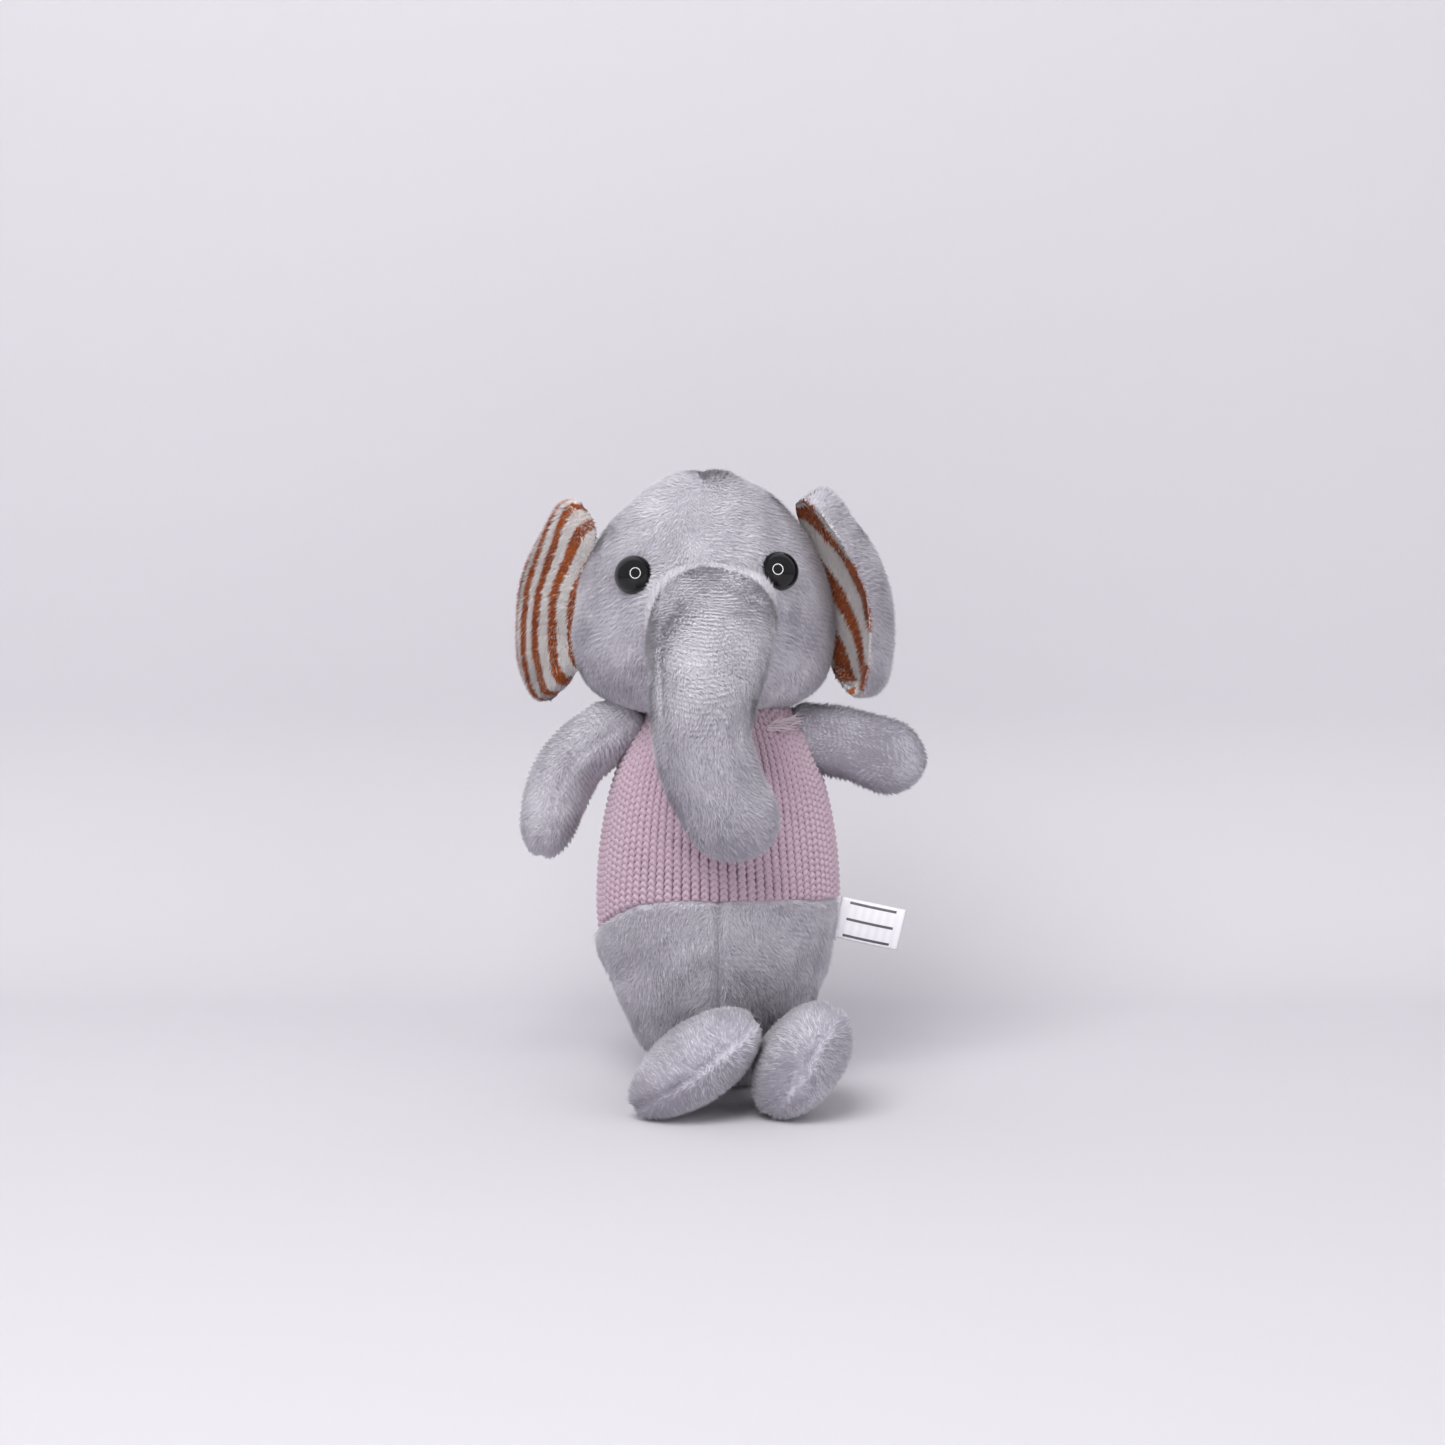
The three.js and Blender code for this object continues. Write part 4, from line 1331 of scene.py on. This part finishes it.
# %% Eyes
EYE_RADIUS, EYE_HEIGHT = 4.6, 4.2
EYE_CUT = 0.9  # cut flat this far behind its middle
EYE_RIM = 0.35
EYE_SUNK = 0.8  # pulled this far into the cloth


def plastic_finish(name, colour, roughness, grain_mm, bump_strength):
    """Moulded plastic: one colour with faint flow marks, and a very fine grain in its gloss."""
    finish, tree, shader = new_finish(name, IOR=1.46)
    grain = mottle(tree, shader, grain_mm, 4.0, colour[0], colour[1], bump_strength, 0.02)
    gloss = add_node(tree, "ShaderNodeMapRange", {
        "Value": grain.outputs["Fac"], "To Min": roughness[0], "To Max": roughness[1]})
    tree.links.new(gloss.outputs["Result"], shader.inputs["Roughness"])
    return finish


BLACK_EYE = plastic_finish("black polished plastic eye", ("#060607", "#0E0F12"), (0.04, 0.1), 1.2, 0.05)
WHITE_WASHER = plastic_finish(
    "white moulded polyethylene washer", ("#D9D9D4", "#EDEDE9"), (0.4, 0.55), 0.8, 0.3,
)


def make_eye(side):
    spot, out = head_front(*EYE_SPOTS[side])
    bpy.ops.object.select_all(action="DESELECT")
    bpy.ops.mesh.primitive_uv_sphere_add(segments=48, ring_count=32, radius=EYE_RADIUS * MM)
    eye = bpy.context.object
    eye.name = eye.data.name = f"eye_{side}_dome"
    bpy.ops.object.mode_set(mode="EDIT")
    bpy.ops.mesh.select_all(action="SELECT")
    bpy.ops.mesh.bisect(plane_co=(0, 0, -EYE_CUT * MM), plane_no=(0, 0, 1), use_fill=True, clear_inner=True)
    bpy.ops.mesh.select_all(action="SELECT")
    bpy.ops.transform.resize(value=(1, 1, EYE_HEIGHT / EYE_RADIUS))
    bpy.ops.object.mode_set(mode="OBJECT")
    rolled = eye.modifiers.new("Rolled rim", "BEVEL")
    rolled.width = EYE_RIM * MM
    rolled.segments = 3
    rolled.angle_limit = math.radians(50)
    apply_modifier(eye, rolled)
    eye.data.shade_smooth()
    eye.rotation_mode = "QUATERNION"
    eye.rotation_quaternion = Vector((0, 0, 1)).rotation_difference(Vector(out))
    eye.location = Vector(in_frame(spot)) - Vector(out) * EYE_SUNK * MM
    eye.select_set(True)
    bpy.ops.object.transform_apply(location=True, rotation=True, scale=True)
    eye.select_set(False)
    eye.data.materials.append(BLACK_EYE)
    settle(eye, "head", stands_for=[f"eye_{side}"])
    print(f"{eye.name}: {len(eye.data.polygons)} faces")


for side in EYE_SPOTS:
    make_eye(side)
    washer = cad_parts[f"eye_washer_{side}"]
    for slot_number in range(len(washer.material_slots)):
        washer.material_slots[slot_number].material = WHITE_WASHER

# %% Filling that stays as the CAD has it: the neck
def filling_finish():
    """Siliconised polyester fibre: white, matt and fluffy, with soft clumps about 3 mm across."""
    finish, tree, shader = new_finish("white polyester fibre filling", Roughness=1.0, Sheen_Weight=0.3)
    clumps = mottle(tree, shader, 3, 6.0, "#D5D5D0", "#F6F6F2", 0.8, 0.4)
    clumps.inputs["Roughness"].default_value = 0.7
    return finish


FIBRE_FILLING = filling_finish()
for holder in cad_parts["neck_filling"].material_slots:
    holder.material = FIBRE_FILLING

# %% [markdown]
# ## Label
#
# A short length of white satin ribbon is caught in the side seam, folded over so that it is double.
# The real one has printing on it. A ribbon like it needs some print to look right, so this one has
# plain bars, which say nothing.

# %% The ribbon
LABEL_OUT, LABEL_TALL, LABEL_LAYER = 15.0, 10.0, 0.22
LABEL_TUCKED = 0.8  # caught in the seam
RIBBON_RIB_MM = 0.3
LABEL_DROOP = math.radians(13)
LABEL_MIDDLE = (37.0, 6.0, 37.6)


def make_label():
    """A folded ribbon: two layers that part a little, with a soft curl at the free end."""
    steps, tall_steps = 48, 20
    way = np.linspace(0, 1, 2 * steps + 1)
    out = 1 - np.abs(2 * way - 1)
    layer = np.sign(way - 0.5) * np.minimum(1, np.abs(2 * way - 1) * 14) ** 0.5
    spread = layer * (0.18 + 0.5 * np.sin(np.pi * np.minimum(out * 1.05, 1)) ** 2 * 0.45)
    curl = 1.1 * out**2 - 0.5 * out
    x = -LABEL_OUT / 2 - LABEL_TUCKED + out * (LABEL_OUT + LABEL_TUCKED)
    rows = np.linspace(-LABEL_TALL / 2, LABEL_TALL / 2, tall_steps + 1)
    grid_x = np.repeat(x[None], len(rows), 0)
    grid_z = np.repeat(rows[:, None], len(x), 1)
    twist = 0.06 * out[None] * rows[:, None] ** 2 * 0.25
    grid_y = spread[None] + curl[None] + twist
    cos, sin = math.cos(LABEL_DROOP), math.sin(LABEL_DROOP)
    points = np.stack(
        [LABEL_MIDDLE[0] + grid_x * cos + grid_z * sin, LABEL_MIDDLE[1] + grid_y,
         LABEL_MIDDLE[2] - grid_x * sin + grid_z * cos], axis=-1,
    )
    piece = add_piece("side_label_ribbon", in_frame(points.reshape(-1, 3)), grid_faces(len(rows), len(x)))
    flat = np.stack([np.repeat(way[None], len(rows), 0), grid_z / LABEL_TALL + 0.5], axis=-1).reshape(-1, 2)
    add_chart(piece.data, "ribbon", flat[corner_points(piece.data)])
    cloth = piece.modifiers.new("Ribbon", "SOLIDIFY")
    cloth.thickness = LABEL_LAYER * MM
    cloth.offset = 0
    apply_modifier(piece, cloth)
    return piece


def ribbon_finish():
    """Woven polyester satin: white, with a soft gloss and fine ribs 0.3 mm apart across its length."""
    finish, tree, shader = new_finish("white satin ribbon", Roughness=0.45, Specular_IOR_Level=0.4,
                                      Sheen_Weight=0.15)
    chart = add_node(tree, "ShaderNodeUVMap", uv_map="ribbon")
    parts = add_node(tree, "ShaderNodeSeparateXYZ", {"Vector": chart.outputs["UV"]})
    weave = add_node(tree, "ShaderNodeTexWave", {
        "Vector": chart.outputs["UV"], "Scale": 2 * LABEL_OUT / RIBBON_RIB_MM / 20,
        "Distortion": 0.6, "Detail": 2.0}, bands_direction="X")
    bars = add_node(tree, "ShaderNodeTexWave", {
        "Vector": chart.outputs["UV"], "Scale": 0.78, "Phase Offset": 1.6}, bands_direction="Y")
    thin = add_node(tree, "ShaderNodeMath", {0: bars.outputs["Fac"], 1: 0.94}, operation="GREATER_THAN")
    from_fold = add_node(tree, "ShaderNodeMath", {0: parts.outputs["X"], 1: 0.07}, operation="GREATER_THAN")
    to_fold = add_node(tree, "ShaderNodeMath", {0: parts.outputs["X"], 1: 0.43}, operation="LESS_THAN")
    inside = add_node(tree, "ShaderNodeMath", {
        0: from_fold.outputs[0], 1: to_fold.outputs[0]}, operation="MULTIPLY")
    printed = add_node(tree, "ShaderNodeMath", {
        0: thin.outputs[0], 1: inside.outputs[0]}, operation="MULTIPLY")
    cloth = add_node(tree, "ShaderNodeMix", {
        "Factor": weave.outputs["Fac"], 6: linear("#F0EFF4"), 7: linear("#F9F8FC")}, data_type="RGBA")
    colour = add_node(tree, "ShaderNodeMix", {
        "Factor": printed.outputs[0], 6: cloth.outputs[2], 7: linear("#4A484E")}, data_type="RGBA")
    bump = add_node(tree, "ShaderNodeBump", {
        "Height": weave.outputs["Fac"], "Strength": 0.15, "Distance": 0.03 * MM})
    tree.links.new(colour.outputs[2], shader.inputs["Base Color"])
    tree.links.new(bump.outputs["Normal"], shader.inputs["Normal"])
    return finish


label = make_label()
label.data.materials.append(ribbon_finish())
settle(label, "label", stands_for=["side_label"])
print(f"label: {LABEL_OUT} mm out of the seam, {LABEL_TALL} mm wide")

# %% [markdown]
# ## Stage, light and camera
#
# The toy sits on a pale sweep that curves up behind it into a wall, in soft light from above. The
# wall's back face is clear, so a view from behind isn't blocked. A ring light stands round the lens:
# only glossy surfaces see it, and it gives the small rings in the eyes.

# %% The sweep
SWEEP_FLAT, SWEEP_RADIUS, SWEEP_WIDE, SWEEP_TALL = 0.085, 0.07, 6.0, 3.0
SWEEP_FRONT = -8.0


def make_sweep():
    turns = np.linspace(0, math.pi / 2, 25)
    arc = [(SWEEP_FLAT + SWEEP_RADIUS * math.sin(a), SWEEP_RADIUS * (1 - math.cos(a))) for a in turns]
    profile = [(SWEEP_FRONT, 0.0), *arc, (SWEEP_FLAT + SWEEP_RADIUS, SWEEP_TALL)]
    points = [(x, y, z) for y, z in profile for x in (-SWEEP_WIDE, SWEEP_WIDE)]
    faces = [(2 * i, 2 * i + 1, 2 * i + 3, 2 * i + 2) for i in range(len(profile) - 1)]
    sweep = add_piece("sweep", points, faces)
    finish, tree, shader = new_finish("matt paper sweep", Base_Color=linear("#D3D1D6"), Roughness=0.9,
                                      Specular_IOR_Level=0.1)
    clear = add_node(tree, "ShaderNodeBsdfTransparent")
    facing = add_node(tree, "ShaderNodeNewGeometry")
    both = add_node(tree, "ShaderNodeMixShader", {
        0: facing.outputs["Backfacing"], 1: shader.outputs["BSDF"], 2: clear.outputs["BSDF"]})
    tree.links.new(both.outputs["Shader"], tree.nodes["Material Output"].inputs["Surface"])
    sweep.data.materials.append(finish)
    sweep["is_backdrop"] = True
    print("sweep:", len(faces), "faces, flat to", SWEEP_FLAT, "m behind the toy's middle")


make_sweep()

# %% The camera, and a ring light round it
CAMERA_RISE = math.radians(8)
CAMERA_AWAY = 0.705
RING_AWAY, RING_RISE = 0.36, math.radians(25)
RING_STRENGTH = 34.0
AIM = np.array([0.0007, 0.0, 0.0872])
camera_data = bpy.data.cameras.new("camera")
camera_data.lens = 75
camera_data.sensor_width = 36
camera = bpy.data.objects.new("camera", camera_data)
camera.location = AIM + CAMERA_AWAY * np.array([0, -math.cos(CAMERA_RISE), math.sin(CAMERA_RISE)])
camera.rotation_euler = (math.pi / 2 - CAMERA_RISE, 0, 0)
scene.collection.objects.link(camera)
scene.camera = camera

bpy.ops.object.select_all(action="DESELECT")
bpy.ops.mesh.primitive_torus_add(major_radius=0.19, minor_radius=0.012, major_segments=64, minor_segments=12)
ring = bpy.context.object
ring.name = ring.data.name = "ring_light"
ring.location = AIM + RING_AWAY * np.array([0, -math.cos(RING_RISE), math.sin(RING_RISE)])
ring.rotation_euler = (math.pi / 2 - RING_RISE, 0, 0)
ring_finish, _, ring_shader = new_finish("lit ring")
ring_shader.inputs["Emission Color"].default_value = (1, 1, 1, 1)
ring_shader.inputs["Emission Strength"].default_value = RING_STRENGTH
ring.data.materials.append(ring_finish)
ring.visible_camera = False
ring.visible_diffuse = False
ring.visible_shadow = False
ring.select_set(False)
ring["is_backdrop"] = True
print(f"camera {CAMERA_AWAY} m away with a {camera_data.lens:.0f} mm lens, ring {RING_AWAY} m away")

# %% Lights
LIGHT_AIM = (0, 0, 0.06)
ROOM_COLOUR, ROOM_STRENGTH = (0.985, 0.965, 1.0, 1), 0.55


def add_softbox(name, place, size, watts):
    data = bpy.data.lights.new(name, "AREA")
    data.shape = "SQUARE"
    data.size = size
    data.energy = watts
    lamp = bpy.data.objects.new(name, data)
    lamp.location = place
    lamp.visible_glossy = False
    lamp.rotation_mode = "QUATERNION"
    lamp.rotation_quaternion = (Vector(LIGHT_AIM) - Vector(place)).to_track_quat("-Z", "Y")
    scene.collection.objects.link(lamp)
    print(f"{name}: {size} m wide, {watts} W")


add_softbox("main softbox", place=(-0.2, -0.5, 0.76), size=0.5, watts=5.6)
add_softbox("fill softbox", place=(0.75, -0.6, 0.5), size=0.7, watts=1.9)
world = bpy.data.worlds.new("pale room")
world.use_nodes = True
background = world.node_tree.nodes["Background"]
background.inputs["Color"].default_value = ROOM_COLOUR
background.inputs["Strength"].default_value = ROOM_STRENGTH
scene.world = world
scene.view_settings.view_transform = "Standard"

# %% [markdown]
# ## Sizes
#
# The last step measures the dressed model against the CAD model, so that any growth is noticed.

# %% Measure and finish
visual_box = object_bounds()
sizes = {"cad": [list(corner) for corner in cad_box], "visual": [list(corner) for corner in visual_box]}
for name, (low, high) in (("CAD box", cad_box), ("visual box", visual_box)):
    print(name, "mm:", np.round(np.array(low) / MM, 1), np.round(np.array(high) / MM, 1))
